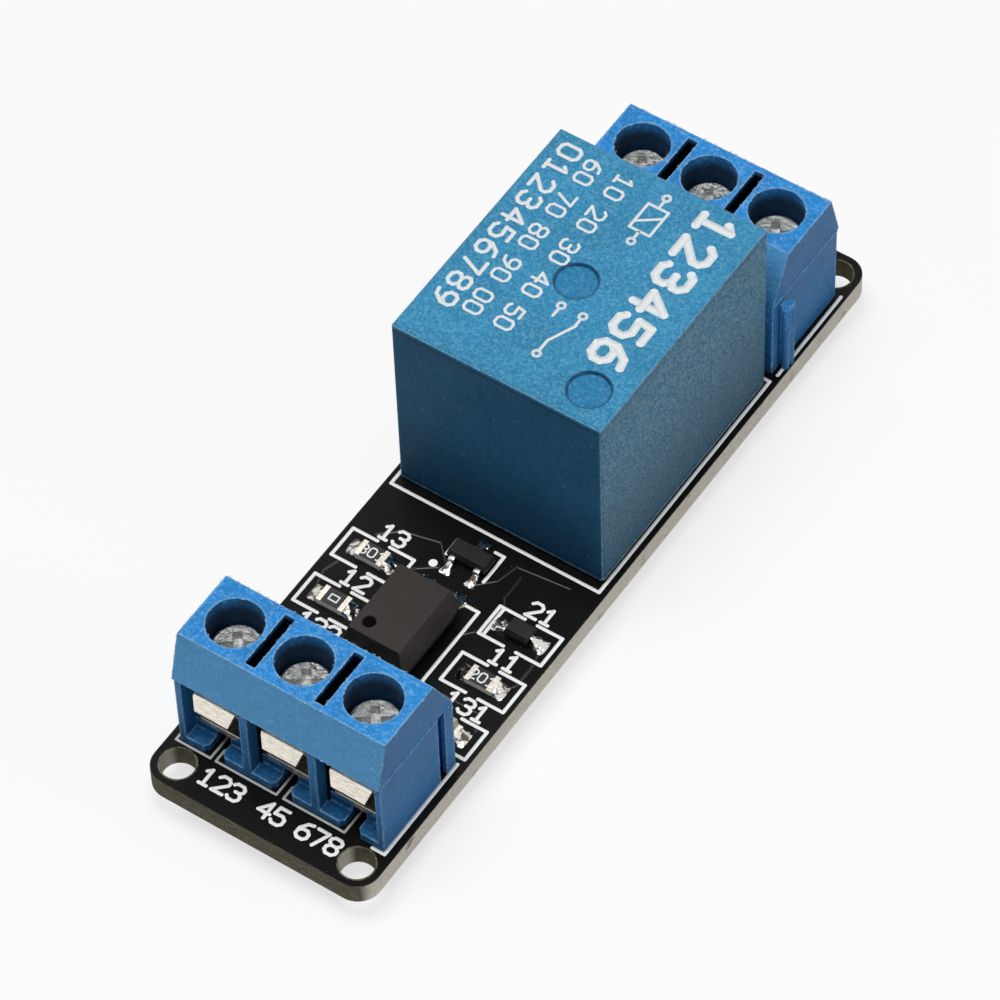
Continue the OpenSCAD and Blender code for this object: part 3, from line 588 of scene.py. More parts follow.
def solder_metal(look):
    """Tin solder, bright and lumpy, with brown flux left in the hollows."""
    s = Surface("Solder")
    grain = look.solder_grain / MM
    ripple = s.noise(s.mm, 1 / grain, 2.0, 0.5, 0.4)
    flux = s.span(s.noise(s.mm, 2.2, 3.0), 0.46, 0.58, 0.0, 0.9)
    base = s.mix(flux, look.solder[:], tint(66, 52, 40))
    return s.finish(
        base_color=base, metallic=1.0,
        roughness=s.span(ripple, 0.3, 0.7, 0.08, 0.2),
        normal=s.bump(ripple, 0.8, 0.16 * MM))


def winding_wire(look):
    """Enamelled copper wire, turn by turn."""
    s = Surface("Winding")
    height = s.axis(s.mm, 2)
    turns = s.node("ShaderNodeMath", {0: s.times(height, WINDING_RATE)}, operation="SINE").outputs[0]
    sheen = s.noise(s.mm, 1.5, 3.0)
    return s.finish(
        base_color=s.mix(sheen, look.winding[:], scaled(look.winding, 1.5)),
        metallic=0.7, roughness=0.3, normal=s.bump(turns, 0.6, 0.04 * MM))


def chip_ceramic(name, top, side):
    """A chip's body: a glazed top over white ceramic."""
    s = Surface(name)
    facing = s.span(s.axis(s.normal, 2), 0.5, 0.9)
    fine = s.noise(s.mm, 8.0, 3.0)
    glaze = s.over(top, scaled(top, 1.4), fine, 0.4, 0.7)
    body = s.mix(fine, side, scaled(side, 0.85))
    return s.finish(
        base_color=s.mix(facing, body, glaze),
        roughness=s.span(facing, 0, 1, 0.6, 0.32),
        normal=s.bump(fine, 0.2, 0.02 * MM, s.rounded(0.04)))


def lens_resin(look):
    """Milky resin over the diode's die."""
    s = Surface("Lens resin")
    cloud = s.noise(s.mm, 2.5, 3.0)
    return s.finish(
        base_color=s.mix(cloud, look.lens[:], scaled(look.lens, 0.85)),
        roughness=0.18, transmission_weight=0.35,
        normal=s.bump(cloud, 0.1, 0.03 * MM, s.rounded(0.08)))


# -------------------------------------------------------------- shared shapes

# Points closer than this are one, faces that meet flatter than FLAT_ANGLE are one
# face, and edges sharper than SHARP_ANGLE are rounded (millimetres and degrees)
WELD_DISTANCE = 0.0005
FLAT_ANGLE = 0.8
SHARP_ANGLE = 28.0
# Width of the rounding on each kind of piece, in millimetres
ROUNDING = {
    "housing": 0.07, "contact": 0.06, "guard": 0.05, "screw": 0.07, "package": 0.05, "leg": 0.03}

# Bars that cross lie at slightly different heights, so that no two faces coincide
LAYERS = 5
LAYER_STEP = 0.0012


def paint(material, *nodes):
    """Gives CAD nodes their finish; their shapes stay as packed."""
    for name in nodes:
        mesh = frame["nodes"][name].data
        mesh.materials.clear()
        mesh.materials.append(material)


def numbered(stem, count):
    """Node names such as led_1 and led_2."""
    return [f"{stem}_{i + 1}" for i in range(count)]


def path_tree(name, lengths, numbers):
    """An empty node tree for paths: its inputs are lengths in millimetres and plain numbers."""
    tree = bpy.data.node_groups.new(name, "GeometryNodeTree")
    face = tree.interface
    face.new_socket("Geometry", in_out="INPUT", socket_type="NodeSocketGeometry")
    for label, default in lengths.items():
        socket = face.new_socket(label, in_out="INPUT", socket_type="NodeSocketFloat")
        socket.default_value = default * MM
        socket.subtype = "DISTANCE"
    for label, default in numbers.items():
        kind = "NodeSocketInt" if isinstance(default, int) else "NodeSocketFloat"
        face.new_socket(label, in_out="INPUT", socket_type=kind).default_value = default
    face.new_socket("Material", in_out="INPUT", socket_type="NodeSocketMaterial")
    face.new_socket("Geometry", in_out="OUTPUT", socket_type="NodeSocketGeometry")
    t = Tree(tree)
    return t, t.node("NodeGroupInput").outputs


def make_real(t, geometry, material):
    """Ends a tree: its instances are made real and take the material."""
    real = t.node("GeometryNodeRealizeInstances", {0: geometry})
    finished = t.node("GeometryNodeSetMaterial", {0: real.outputs[0], "Material": material})
    result = t.node("NodeGroupOutput")
    t.tree.links.new(finished.outputs[0], result.inputs[0])
    return t.tree


def stroke_tree():
    """Node tree: a flat bar of ink or copper along every line, round at its ends."""
    t, given = path_tree("Printed line", {"Width": 0.2, "Thickness": 0.02}, {})
    upright = t.node("GeometryNodeSetCurveNormal", {0: given["Geometry"]}, mode="Z_UP")
    bar = t.node(
        "GeometryNodeCurvePrimitiveQuadrilateral",
        {"Width": given["Width"], "Height": given["Thickness"]}, mode="RECTANGLE")
    ribbon = t.node(
        "GeometryNodeCurveToMesh",
        {"Curve": upright.outputs[0], "Profile Curve": bar.outputs[0], "Fill Caps": True})
    radius = t.times(given["Width"], 0.5)
    disc = t.node(
        "GeometryNodeMeshCylinder",
        {"Vertices": 20, "Radius": radius, "Depth": t.times(given["Thickness"], 0.7)},
        fill_type="NGON")
    dots = t.node(
        "GeometryNodeCurveToPoints", {"Curve": given["Geometry"]}, mode="EVALUATED")
    ends = t.node(
        "GeometryNodeInstanceOnPoints", {"Points": dots.outputs[0], "Instance": disc.outputs[0]})
    both = t.node("GeometryNodeJoinGeometry")
    t.tree.links.new(ribbon.outputs[0], both.inputs[0])
    t.tree.links.new(ends.outputs[0], both.inputs[0])
    return make_real(t, both.outputs[0], given["Material"])


def burr_tree():
    """Node tree: slivers of torn plastic strewn at random along every line."""
    t, given = path_tree("Burrs", {"Spacing": 0.3, "Size": 0.05}, {"Share": 0.5, "Seed": 1})
    seed = given["Seed"]
    dots = t.node(
        "GeometryNodeCurveToPoints", {"Curve": given["Geometry"], "Length": given["Spacing"]},
        mode="LENGTH")
    kept = t.node(
        "FunctionNodeRandomValue", {"Probability": given["Share"], "Seed": seed},
        data_type="BOOLEAN")
    some = t.node("GeometryNodeSeparateGeometry", {0: dots.outputs["Points"], 1: kept.outputs[3]})
    moved = t.node(
        "FunctionNodeRandomValue", {0: (-0.05 * MM,) * 3, 1: (0.05 * MM,) * 3, "Seed": seed},
        data_type="FLOAT_VECTOR")
    strewn = t.node("GeometryNodeSetPosition", {0: some.outputs[0], "Offset": moved.outputs[0]})
    sliver = t.node("GeometryNodeMeshIcoSphere", {"Radius": given["Size"], "Subdivisions": 1})
    sizes = t.node(
        "FunctionNodeRandomValue", {0: (0.4, 0.4, 0.8), 1: (1.1, 1.1, 4.5), "Seed": seed},
        data_type="FLOAT_VECTOR")
    placed = t.node(
        "GeometryNodeInstanceOnPoints",
        {"Points": strewn.outputs[0], "Instance": sliver.outputs[0],
         "Rotation": dots.outputs["Rotation"], "Scale": sizes.outputs[0]})
    return make_real(t, placed.outputs[0], given["Material"])


def set_inputs(modifier, **values):
    """Sets a node modifier's inputs by their sockets' identifiers."""
    for socket in modifier.node_group.interface.items_tree:
        if socket.item_type == "SOCKET" and socket.in_out == "INPUT" and socket.name in values:
            modifier[socket.identifier] = values[socket.name]


def settle(name, source, body):
    """Turns source, modifiers and all, into a plain mesh piece on a body."""
    bpy.context.view_layer.update()
    graph = bpy.context.evaluated_depsgraph_get()
    mesh = bpy.data.meshes.new_from_object(source.evaluated_get(graph), depsgraph=graph)
    mesh.name = name
    bpy.data.objects.remove(source)
    return ride_piece(name, mesh, body)


def ride_piece(name, mesh, body):
    """Puts a finished mesh in the scene as a piece of a body."""
    piece = bpy.data.objects.new(name, mesh)
    bpy.context.scene.collection.objects.link(piece)
    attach(piece, body)
    return piece


def path_piece(name, paths, tree, slot, **inputs):
    """One piece that a node tree grows on paths of (x, y, z) points in millimetres."""
    curve = bpy.data.curves.new(name + "_paths", "CURVE")
    curve.dimensions = "3D"
    for path in paths:
        spline = curve.splines.new("POLY")
        spline.points.add(len(path) - 1)
        for point, (x, y, z) in zip(spline.points, path):
            point.co = (x * MM, y * MM, z * MM, 1.0)
    source = bpy.data.objects.new(name + "_source", curve)
    bpy.context.scene.collection.objects.link(source)
    modifier = source.modifiers.new(tree.name, "NODES")
    modifier.node_group = tree
    set_inputs(modifier, **inputs)
    return settle(name, source, "root")


def lines_piece(name, paths, width, thickness, material, slot):
    """One piece of flat lines; each straight bar is a path of its own."""
    bars = [bar for path in paths for bar in zip(path, path[1:])]
    lifted = [
        [(x, y, z + (i % LAYERS) * LAYER_STEP) for x, y, z in bar] for i, bar in enumerate(bars)]
    tree = bpy.data.node_groups.get("Printed line") or stroke_tree()
    return path_piece(
        name, lifted, tree, slot, Width=width, Thickness=thickness, Material=material)


def burrs_piece(name, paths, seed, material, slot):
    """One piece of slivers along paths."""
    tree = bpy.data.node_groups.get("Burrs") or burr_tree()
    return path_piece(
        name, paths, tree, slot, Spacing=BURR_SPACING * MM, Size=BURR_SIZE * MM,
        Share=BURR_SHARE, Seed=seed, Material=material)


def rounded_copy(node, material, radius):
    """A copy of a CAD node with its sharp edges rounded, standing for that node."""
    source = frame["nodes"][node]
    mesh = source.data.copy()
    work = bmesh.new()
    work.from_mesh(mesh)
    bmesh.ops.remove_doubles(work, verts=work.verts, dist=WELD_DISTANCE * MM)
    bmesh.ops.dissolve_limit(
        work, angle_limit=math.radians(FLAT_ANGLE), verts=work.verts, edges=work.edges)
    work.to_mesh(mesh)
    work.free()
    mesh.materials.clear()
    mesh.materials.append(material)
    mesh.polygons.foreach_set("use_smooth", [True] * len(mesh.polygons))
    shape = bpy.data.objects.new(node + "_source", mesh)
    bpy.context.scene.collection.objects.link(shape)
    rounding = shape.modifiers.new("Rounded edges", "BEVEL")
    rounding.width = radius * MM
    rounding.segments = 2
    rounding.limit_method = "ANGLE"
    rounding.angle_limit = math.radians(SHARP_ANGLE)
    flats = shape.modifiers.new("Flat faces", "WEIGHTED_NORMAL")
    flats.mode = "FACE_AREA"
    flats.weight = 100
    piece = settle(node + "_finished", shape, source["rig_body"])
    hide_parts(node)
    return piece


def mesh_piece(name, work, material, smooth=None):
    """Makes a piece of the board's body from a bmesh that is already in its place."""
    bmesh.ops.recalc_face_normals(work, faces=work.faces)
    mesh = bpy.data.meshes.new(name)
    work.to_mesh(mesh)
    work.free()
    mesh.materials.append(material)
    if smooth is not None:
        mesh.polygons.foreach_set("use_smooth", [True] * len(mesh.polygons))
        mesh.set_sharp_from_angle(angle=math.radians(smooth))
    return ride_piece(name, mesh, "root")


def circle(x, y, radius, z, steps=24):
    """A round path whose last point is its first one."""
    return [
        (x + radius * math.cos(math.tau * i / steps), y + radius * math.sin(math.tau * i / steps), z)
        for i in range(steps + 1)]


def add_disc(work, centre, radius, bottom, top):
    """A low round slab, closed all round."""
    rings = [
        [work.verts.new((x * MM, y * MM, z * MM)) for x, y, z in circle(*centre, radius, z, 32)[:-1]]
        for z in (bottom, top)]
    count = len(rings[0])
    for i in range(count):
        j = (i + 1) % count
        work.faces.new((rings[0][i], rings[0][j], rings[1][j], rings[1][i]))
    work.faces.new(rings[0][::-1])
    work.faces.new(rings[1])


def add_solder(work, start, out, width, flare, length, height, dome, seed):
    """A mound of solder that runs from the end of a part down and out to its pad.

    start is the middle of the part's end on the board, out the direction away from
    the part, and dome says how full the mound is: 0 hollow, 1 swollen.
    """
    rng = random.Random(seed)
    lumps = [(rng.uniform(0, 6), rng.uniform(1, 3), rng.uniform(1, 3)) for _ in range(3)]
    side = Vector((-out.y, out.x, 0))
    steps, film = 12, 0.035
    tops, feet = [], []
    for i in range(steps + 1):
        u = i / steps
        full = math.cos(u * math.pi / 2) ** 0.7
        hollow = 1 - math.sin(u * math.pi / 2)
        fall = dome * full + (1 - dome) * hollow
        row, base = [], []
        for j in range(steps + 1):
            v = 2 * j / steps - 1
            round_off = max(0.0, 1 - abs(v) ** 3.2) ** 0.6
            ripple = 1 + 0.07 * sum(math.sin(p + a * 3 * u + b * 2 * v) for p, a, b in lumps)
            z = film + (height - film) * fall * round_off * ripple
            spread = width / 2 * (1 + flare * u) * (1 - 0.14 * u ** 4)
            place = start + out * (length * u * (1 - 0.1 * abs(v) ** 4)) + side * (spread * v)
            row.append(work.verts.new((place.x * MM, place.y * MM, (start.z + z) * MM)))
            base.append(work.verts.new((place.x * MM, place.y * MM, (start.z - 0.01) * MM)))
        tops.append(row)
        feet.append(base)
    for i in range(steps):
        for j in range(steps):
            work.faces.new((tops[i][j], tops[i + 1][j], tops[i + 1][j + 1], tops[i][j + 1]))
            work.faces.new((feet[i][j], feet[i][j + 1], feet[i + 1][j + 1], feet[i + 1][j]))
    for i in range(steps):
        for j in (0, steps):
            work.faces.new((tops[i][j], feet[i][j], feet[i + 1][j], tops[i + 1][j]))
    for j in range(steps):
        for i in (0, steps):
            work.faces.new((tops[i][j], tops[i][j + 1], feet[i][j + 1], feet[i][j]))


# Plain numerals as strokes on a grid two wide and three high, and the step between them
NUMERAL_STEP = 2.9
DIGITS = {
    "0": [[(0, 0.5), (0.5, 0), (1.5, 0), (2, 0.5), (2, 2.5), (1.5, 3), (0.5, 3), (0, 2.5), (0, 0.5)]],
    "1": [[(0.3, 2.4), (1, 3), (1, 0)], [(0.3, 0), (1.7, 0)]],
    "2": [[(0, 2.5), (0.5, 3), (1.5, 3), (2, 2.5), (2, 1.9), (0, 0), (2, 0)]],
    "3": [[(0, 2.6), (0.4, 3), (1.5, 3), (2, 2.5), (2, 2.0), (1.5, 1.6), (0.8, 1.6)],
          [(1.5, 1.6), (2, 1.1), (2, 0.5), (1.5, 0), (0.4, 0), (0, 0.4)]],
    "4": [[(1.6, 0), (1.6, 3), (0, 1), (2.1, 1)]],
    "5": [[(1.9, 3), (0.2, 3), (0, 1.7), (1.4, 1.8), (2, 1.3), (2, 0.5), (1.5, 0), (0.4, 0), (0, 0.4)]],
    "6": [[(1.8, 3), (0.9, 2.8), (0, 1.6), (0, 0.5), (0.5, 0), (1.5, 0), (2, 0.5), (2, 1.2),
           (1.5, 1.7), (0.6, 1.7), (0, 1.2)]],
    "7": [[(0, 3), (2, 3), (0.7, 0)]],
    "8": [[(0.5, 1.6), (0, 2.1), (0, 2.6), (0.5, 3), (1.5, 3), (2, 2.6), (2, 2.1), (1.5, 1.6),
           (0.5, 1.6), (0, 1.1), (0, 0.5), (0.5, 0), (1.5, 0), (2, 0.5), (2, 1.1), (1.5, 1.6)]],
    "9": [[(0.2, 0), (1.1, 0.2), (2, 1.4), (2, 2.5), (1.5, 3), (0.5, 3), (0, 2.5), (0, 1.8),
           (0.5, 1.3), (1.4, 1.3), (2, 1.8)]],
}


def number_paths(text, centre, height, z, turn=0.0, spread=1.0):
    """Stroke paths of a number, centred on a point, turned by an angle in degrees.

    height is that of a numeral, and spread widens the steps from one to the next.
    """
    unit = height / 3
    step = NUMERAL_STEP * unit * spread
    start = -(step * (len(text) - 1) + 2 * unit) / 2
    cos, sin = math.cos(math.radians(turn)), math.sin(math.radians(turn))
    paths = []
    for i, digit in enumerate(text):
        for stroke in DIGITS[digit]:
            points = [(start + i * step + x * unit, (y - 1.5) * unit) for x, y in stroke]
            paths.append([
                (centre[0] + x * cos - y * sin, centre[1] + x * sin + y * cos, z)
                for x, y in points])
    return paths


def outline(x0, y0, x1, y1, z, gaps=0.0):
    """A rectangle; a gap leaves the middle of the two long sides open."""
    if not gaps:
        return [[(x0, y0, z), (x1, y0, z), (x1, y1, z), (x0, y1, z), (x0, y0, z)]]
    mid, half = (x0 + x1) / 2, gaps / 2
    return [
        [(mid - half, y0, z), (x0, y0, z), (x0, y1, z), (mid - half, y1, z)],
        [(mid + half, y0, z), (x1, y0, z), (x1, y1, z), (mid + half, y1, z)]]


# ------------------------------------------------------------------ operators


# Print and tracks on the board's upper face, in millimetres. Tracks are paths of (x, y)
TRACKS = [
    [(-6.4, -6.3), (-5.2, -5.2), (-2.6, -4.6), (-1.5, -5.7)],
    [(0.9, -6.3), (2.0, -5.2), (2.4, -3.6), (6.2, -3.2)],
    [(3.5, -6.5), (3.1, -5.9), (3.1, -4.2)],
    [(7.2, -8.2), (7.5, -9.6), (7.5, -11.2), (6.9, -12.0)],
    [(3.0, -9.2), (2.3, -10.0), (2.3, -15.4), (3.6, -16.4)],
    [(-3.2, -8.2), (-2.9, -7.2), (-1.7, -6.3)],
    [(4.2, -14.2), (6.7, -14.2), (7.3, -15.4)],
    [(-7.3, -9.4), (-7.6, -10.4), (-7.3, -11.6)],
]
# How far the outline stands off the relay's case
RELAY_LEFT, RELAY_FRONT, RELAY_RIGHT, RELAY_BACK = 0.2, 0.65, 0.12, 0.3
# The lines at the blocks' sides: how far off each stands and how far short it stops
INPUT_SIDE, INPUT_SHORT, INPUT_RETURN = 0.08, 0.2, 0.9
OUTPUT_SIDE, OUTPUT_SHORT = 0.3, 0.1
# Outlines round the input housing's feet: where each starts and how wide it is
FEET = ((-7.85, 2.6), (-4.84, 4.55), (0.24, 4.55))
FOOT_GAP, FOOT_LEFT_DEPTH, FOOT_RIGHT_DEPTH = 0.03, 1.0, 2.0
FOOT_FADE, FOOT_LINE = 0.62, 0.7
# Boxes round the chips: half their size, the gap in their long sides, the room they
# leave at the board's edge, and the bar that marks one end of the diode
CHIPS = ("resistor_1", "resistor_2", "resistor_3", "diode", "led_1", "led_2")
CHIP_HALF_X, CHIP_HALF_Y = 2.33, 1.22
CHIP_GAP = 0.95
CHIP_EDGE = 0.35
DIODE_BAR = 0.32
# The bracket at the optocoupler: how far off it stands, and where its two ends lie
OPTO_BACK, OPTO_SIDE, OPTO_FRONT = 1.15, 0.5, 0.6
OPTO_BACK_END, OPTO_FRONT_END = 0.55, 0.2
# The transistor's lines and its pin dot
SOT_BACK, SOT_SIDE, SOT_FRONT, SOT_BACK_END = 0.75, 0.1, 0.25, 0.55
SOT_LEFT, SOT_SHORT = 0.2, 0.3
PIN_DOT_PLACE, PIN_DOT_R = (-0.5, -0.75), 0.29
# Numbers: their text by part, or their text and place across the board
CHIP_NUMBERS = {
    "resistor_3": "13", "resistor_2": "12", "led_2": "132",
    "diode": "21", "resistor_1": "11", "led_1": "131"}
CHIP_NUMBER_PLACE = (0.2, 2.12)
CHIP_NUMBER_HEIGHT, CHIP_NUMBER_SPREAD = 1.15, 0.93
FRONT_NUMBERS = (("123", -3.5), ("45", 0.3), ("678", 3.75))
FRONT_GAP, FRONT_HEIGHT, FRONT_SPREAD = 1.2, 1.2, 0.92
BACK_NUMBERS = (("6", -4.5), ("5", 0.0), ("4", 4.5))
BACK_GAP, BACK_HEIGHT = 1.35, 1.3


class RELAYMODULE_OT_board(bpy.types.Operator):
    """Finish the circuit board and the solder cones round its pins"""

    bl_idname = "relay_module.board"
    bl_label = "Board"

    def execute(self, context):
        paint(mask_and_laminate(context.scene.relay_module_board), "board")
        paint(solder_metal(context.scene.relay_module_driver), "pin_solder")
        return {"FINISHED"}


class RELAYMODULE_OT_board_print(bpy.types.Operator):
    """Print the outlines and numbers on the board and lay its copper tracks"""

    bl_idname = "relay_module.board_print"
    bl_label = "Board print"

    def execute(self, context):
        look = context.scene.relay_module_board
        ink = printed("Board ink", look.ink, 0.05)
        top = corners("board")[1].z
        z = top + look.ink_thickness / MM / 2
        lines = large_outlines(z) + chip_outlines(z) + small_marks(z)
        lines_piece("board_outlines", lines, look.line_width, look.ink_thickness, ink, "board")
        thin = printed("Thin board ink", scaled(look.ink, FOOT_FADE), 0.1)
        lines_piece("board_foot_outlines", foot_outlines(z), look.line_width * FOOT_LINE,
                    look.ink_thickness, thin, "board")
        tracks = [[(x, y, top) for x, y in path] for path in TRACKS]
        lines_piece("board_tracks", tracks, look.track_width, look.track_thickness,
                    masked_copper(look), "board")
        low = corners("transistor")[0]
        place = (low.x + PIN_DOT_PLACE[0], low.y + PIN_DOT_PLACE[1])
        dot = bmesh.new()
        add_disc(dot, place, PIN_DOT_R, top - 0.01, top + 0.02)
        mesh_piece("board_pin_dot", dot, ink)
        lines_piece("board_numbers", board_numbers(z), look.number_width, look.ink_thickness,
                    ink, "board")
        return {"FINISHED"}


def large_outlines(z):
    """Lines round the relay's case and along the sides of the terminal blocks."""
    low, high = corners("relay_case")
    lines = outline(
        low.x - RELAY_LEFT, low.y - RELAY_FRONT, high.x + RELAY_RIGHT, high.y + RELAY_BACK, z)
    low, high = corners("input_housing")
    side, front = high.x + INPUT_SIDE, low.y + FOOT_GAP
    lines += [
        [(side, low.y + INPUT_SHORT, z), (side, high.y, z)],
        [(side - INPUT_RETURN, front, z), (side, front, z)]]
    low, high = corners("output_housing")
    side = high.x - OUTPUT_SIDE
    lines.append([(side, low.y + OUTPUT_SHORT, z), (side, high.y - OUTPUT_SHORT, z)])
    return lines


def foot_outlines(z):
    """Lines round the front of the input housing's feet."""
    front = corners("input_housing")[0].y
    return [
        [(start, front + FOOT_LEFT_DEPTH, z), (start, front + FOOT_GAP, z),
         (start + width, front + FOOT_GAP, z), (start + width, front + FOOT_RIGHT_DEPTH, z)]
        for start, width in FEET]


def chip_outlines(z):
    """Boxes round the chips, open in the middle of their long sides."""
    low, high = corners("board")
    lines = []
    for node in CHIPS:
        centre = middle(node)
        x0 = max(low.x + CHIP_EDGE, centre.x - CHIP_HALF_X)
        x1 = min(high.x - CHIP_EDGE, centre.x + CHIP_HALF_X)
        y0, y1 = centre.y - CHIP_HALF_Y, centre.y + CHIP_HALF_Y
        lines += outline(x0, y0, x1, y1, z, CHIP_GAP)
        if node == "diode":
            lines.append([(x0 + DIODE_BAR, y0, z), (x0 + DIODE_BAR, y1, z)])
    return lines


def small_marks(z):
    """The bracket at the optocoupler and the lines at the transistor."""
    low, high = corners("optocoupler")
    back, side, front = high.y + OPTO_BACK, high.x + OPTO_SIDE, low.y - OPTO_FRONT
    lines = [[
        (high.x - OPTO_BACK_END, back, z), (side, back, z), (side, front, z),
        (high.x - OPTO_FRONT_END, front, z)]]
    low, high = corners("transistor")
    back, side, left = high.y + SOT_BACK, high.x + SOT_SIDE, low.x - SOT_LEFT
    lines += [
        [(side, back, z), (side, low.y - SOT_FRONT, z)],
        [(left, high.y + SOT_SHORT, z), (left, low.y + SOT_SHORT, z)],
        [(side, back, z), (high.x - SOT_BACK_END, back, z)]]
    return lines


def board_numbers(z):
    """Numbers at the terminals of both blocks and at the chips."""
    paths = []
    y = corners("input_housing")[0].y - FRONT_GAP
    for text, x in FRONT_NUMBERS:
        paths += number_paths(text, (x, y), FRONT_HEIGHT, z, 0, FRONT_SPREAD)
    for node, text in CHIP_NUMBERS.items():
        centre = middle(node)
        place = (centre.x + CHIP_NUMBER_PLACE[0], centre.y + CHIP_NUMBER_PLACE[1])
        paths += number_paths(text, place, CHIP_NUMBER_HEIGHT, z, 0, CHIP_NUMBER_SPREAD)
    y = corners("output_housing")[1].y + BACK_GAP
    for text, x in BACK_NUMBERS:
        paths += number_paths(text, (x, y), BACK_HEIGHT, z, 180)
    return paths


class RELAYMODULE_OT_housings(bpy.types.Operator):
    """Finish the two terminal housings"""

    bl_idname = "relay_module.housings"
    bl_label = "Terminal housings"

    def execute(self, context):
        plastic = housing_plastic(context.scene.relay_module_block)
        torn = plain_plastic("Torn plastic", tint(176, 212, 240), 8.0, 0.6, 0.0, 0.2)
        for seed, block in enumerate(BLOCKS, 1):
            rounded_copy(f"{block}_housing", plastic, ROUNDING["housing"])
            burrs_piece(f"{block}_burrs", self.edges(block), seed, torn, "terminal_plastic")
        return {"FINISHED"}

    def edges(self, block):
        """Lines where the moulding is torn: its long edges, ends, well rims and slots."""
        low, high = corners(f"{block}_housing")
        way = 1 if block == "input" else -1
        outer = low.y if way > 0 else high.y
        x0, x1, top = -BLOCK_HALF_W, BLOCK_HALF_W, high.z

        def place(x, v, z):
            return (x, outer + way * v, z)

        along = ((TOP_FROM, top), (LIP_FROM, LIP_Z), (TOP_TO, top))
        paths = [[place(x0, v, z), place(x1, v, z)] for v, z in along]
        for x in (x0, x1):
            paths.append(
                [place(x, LIP_FROM, LIP_Z), place(x, TOP_FROM, top), place(x, TOP_TO, top)])
        for i in POLES:
            centre = middle(f"{block}_screw_{i}")
            paths.append(circle(centre.x, centre.y, WELL_R, top))
            if i < POLES[-1]:
                slot = centre.x + way * SCREW_PITCH / 2
                sides = (slot - SLOT_W / 2, slot + SLOT_W / 2)
                paths += [[place(x, SLOT_FROM, top), place(x, SLOT_TO, top)] for x in sides]
        return paths


class RELAYMODULE_OT_clamps(bpy.types.Operator):
    """Finish the contacts, wire guards and screws of both terminal blocks"""

    bl_idname = "relay_module.clamps"
    bl_label = "Clamps"

    def execute(self, context):
        look = context.scene.relay_module_block
        strip = plated("Contact strip", look.contact, 0.24, 5.0, 0.2, tint(150, 118, 84))
        leaf = plated("Guard leaf", look.guard, 0.36, 3.0, 0.35, relief=0.015, brush=(0.6, 4, 4))
        steel = plated("Screw steel", look.screw, 0.32, 3.0, 0.5, relief=0.42)
        for block in BLOCKS:
            for i in POLES:
                for part, metal in (("contact", strip), ("guard", leaf), ("screw", steel)):
                    rounded_copy(f"{block}_{part}_{i}", metal, ROUNDING[part])
        return {"FINISHED"}


class RELAYMODULE_OT_relay(bpy.types.Operator):
    """Finish the relay's case, base and mechanism"""

    bl_idname = "relay_module.relay"
    bl_label = "Relay"

    def execute(self, context):
        look = context.scene.relay_module_relay
        paint(case_plastic(look), "relay_case")
        paint(plain_plastic("Relay base plastic", look.base, 6.0, 0.5), "relay_base")
        paint(plain_plastic("Bobbin plastic", tint(214, 206, 184), 5.0, 0.45), "relay_bobbin")
        paint(winding_wire(look), "relay_coil")
        paint(plated("Magnet steel", tint(150, 150, 148), 0.34, 5.0), "relay_core", "relay_yoke",
              "relay_armature")
        paint(plated("Spring bronze", tint(196, 148, 92), 0.28, 6.0), "relay_blade")
        paint(plated("Contact silver", tint(226, 226, 222), 0.22, 6.0), "relay_moving_contact")
        paint(plated("Pin metal", tint(208, 190, 150), 0.3, 5.0), "relay_open_terminal",
              "relay_closed_terminal", "relay_common_pin", "relay_coil_pin_1", "relay_coil_pin_2")
        return {"FINISHED"}


# Marks on the relay's lid: two rows of small numbers, as text and place across the lid
FINE_ROWS = (("10 20 30 40 50", -1.9), ("60 70 80 90 00", -4.2))
FINE_START, FINE_GAP = 1.3, 1.02
FINE_HEIGHT, FINE_SPREAD, FINE_STROKE = 1.15, 1.02, 0.2
# Large rows: piece, text, place from the lid's middle, height and stroke
LARGE_ROWS = (
    ("relay_marks_row", "0123456789", (-6.1, 1.1), 1.45, 0.27),
    ("relay_marks_bold", "123456", (4.9, 1.85), 2.25, 0.58))
LARGE_SPREAD = 1.1
MARK_THICKNESS = 0.02
# Contact diagram: its place, half its coil's width and length, its lead, and its open circles
DIAGRAM_X, COIL_FROM_BACK, CONTACT_FROM_FRONT = 1.1, 3.4, 5.2
COIL_WIDE, COIL_LONG, COIL_LEAD = 0.75, 1.1, 0.7
END_R = 0.24


class RELAYMODULE_OT_relay_marks(bpy.types.Operator):
    """Print a plain contact diagram with numbers on the relay's case"""

    bl_idname = "relay_module.relay_marks"
    bl_label = "Relay marks"

    def execute(self, context):
        ink = printed("Relay ink", context.scene.relay_module_relay.ink, 0.08)
        thickness = MARK_THICKNESS * MM
        low, high = corners("relay_case")
        z = high.z + thickness / MM / 2
        half_way = (low.y + high.y) / 2
        # Rows of plain numbers along the case, read towards the input block
        fine = []
        for text, x in FINE_ROWS:
            y = high.y - FINE_START
            for word in text.split():
                width = (NUMERAL_STEP * FINE_SPREAD * (len(word) - 1) + 2) * FINE_HEIGHT / 3
                place = (x, y - width / 2)
                fine += number_paths(word, place, FINE_HEIGHT, z, -90, FINE_SPREAD)
                y -= width + FINE_HEIGHT * FINE_GAP
        fine += contact_diagram(DIAGRAM_X, high.y - COIL_FROM_BACK, low.y + CONTACT_FROM_FRONT, z)
        lines_piece("relay_marks", fine, FINE_STROKE * MM, thickness, ink, "relay_plastic")
        for name, text, (x, y), height, stroke in LARGE_ROWS:
            row = number_paths(text, (x, half_way + y), height, z, -90, LARGE_SPREAD)
            lines_piece(name, row, stroke * MM, thickness, ink, "relay_plastic")
        return {"FINISHED"}


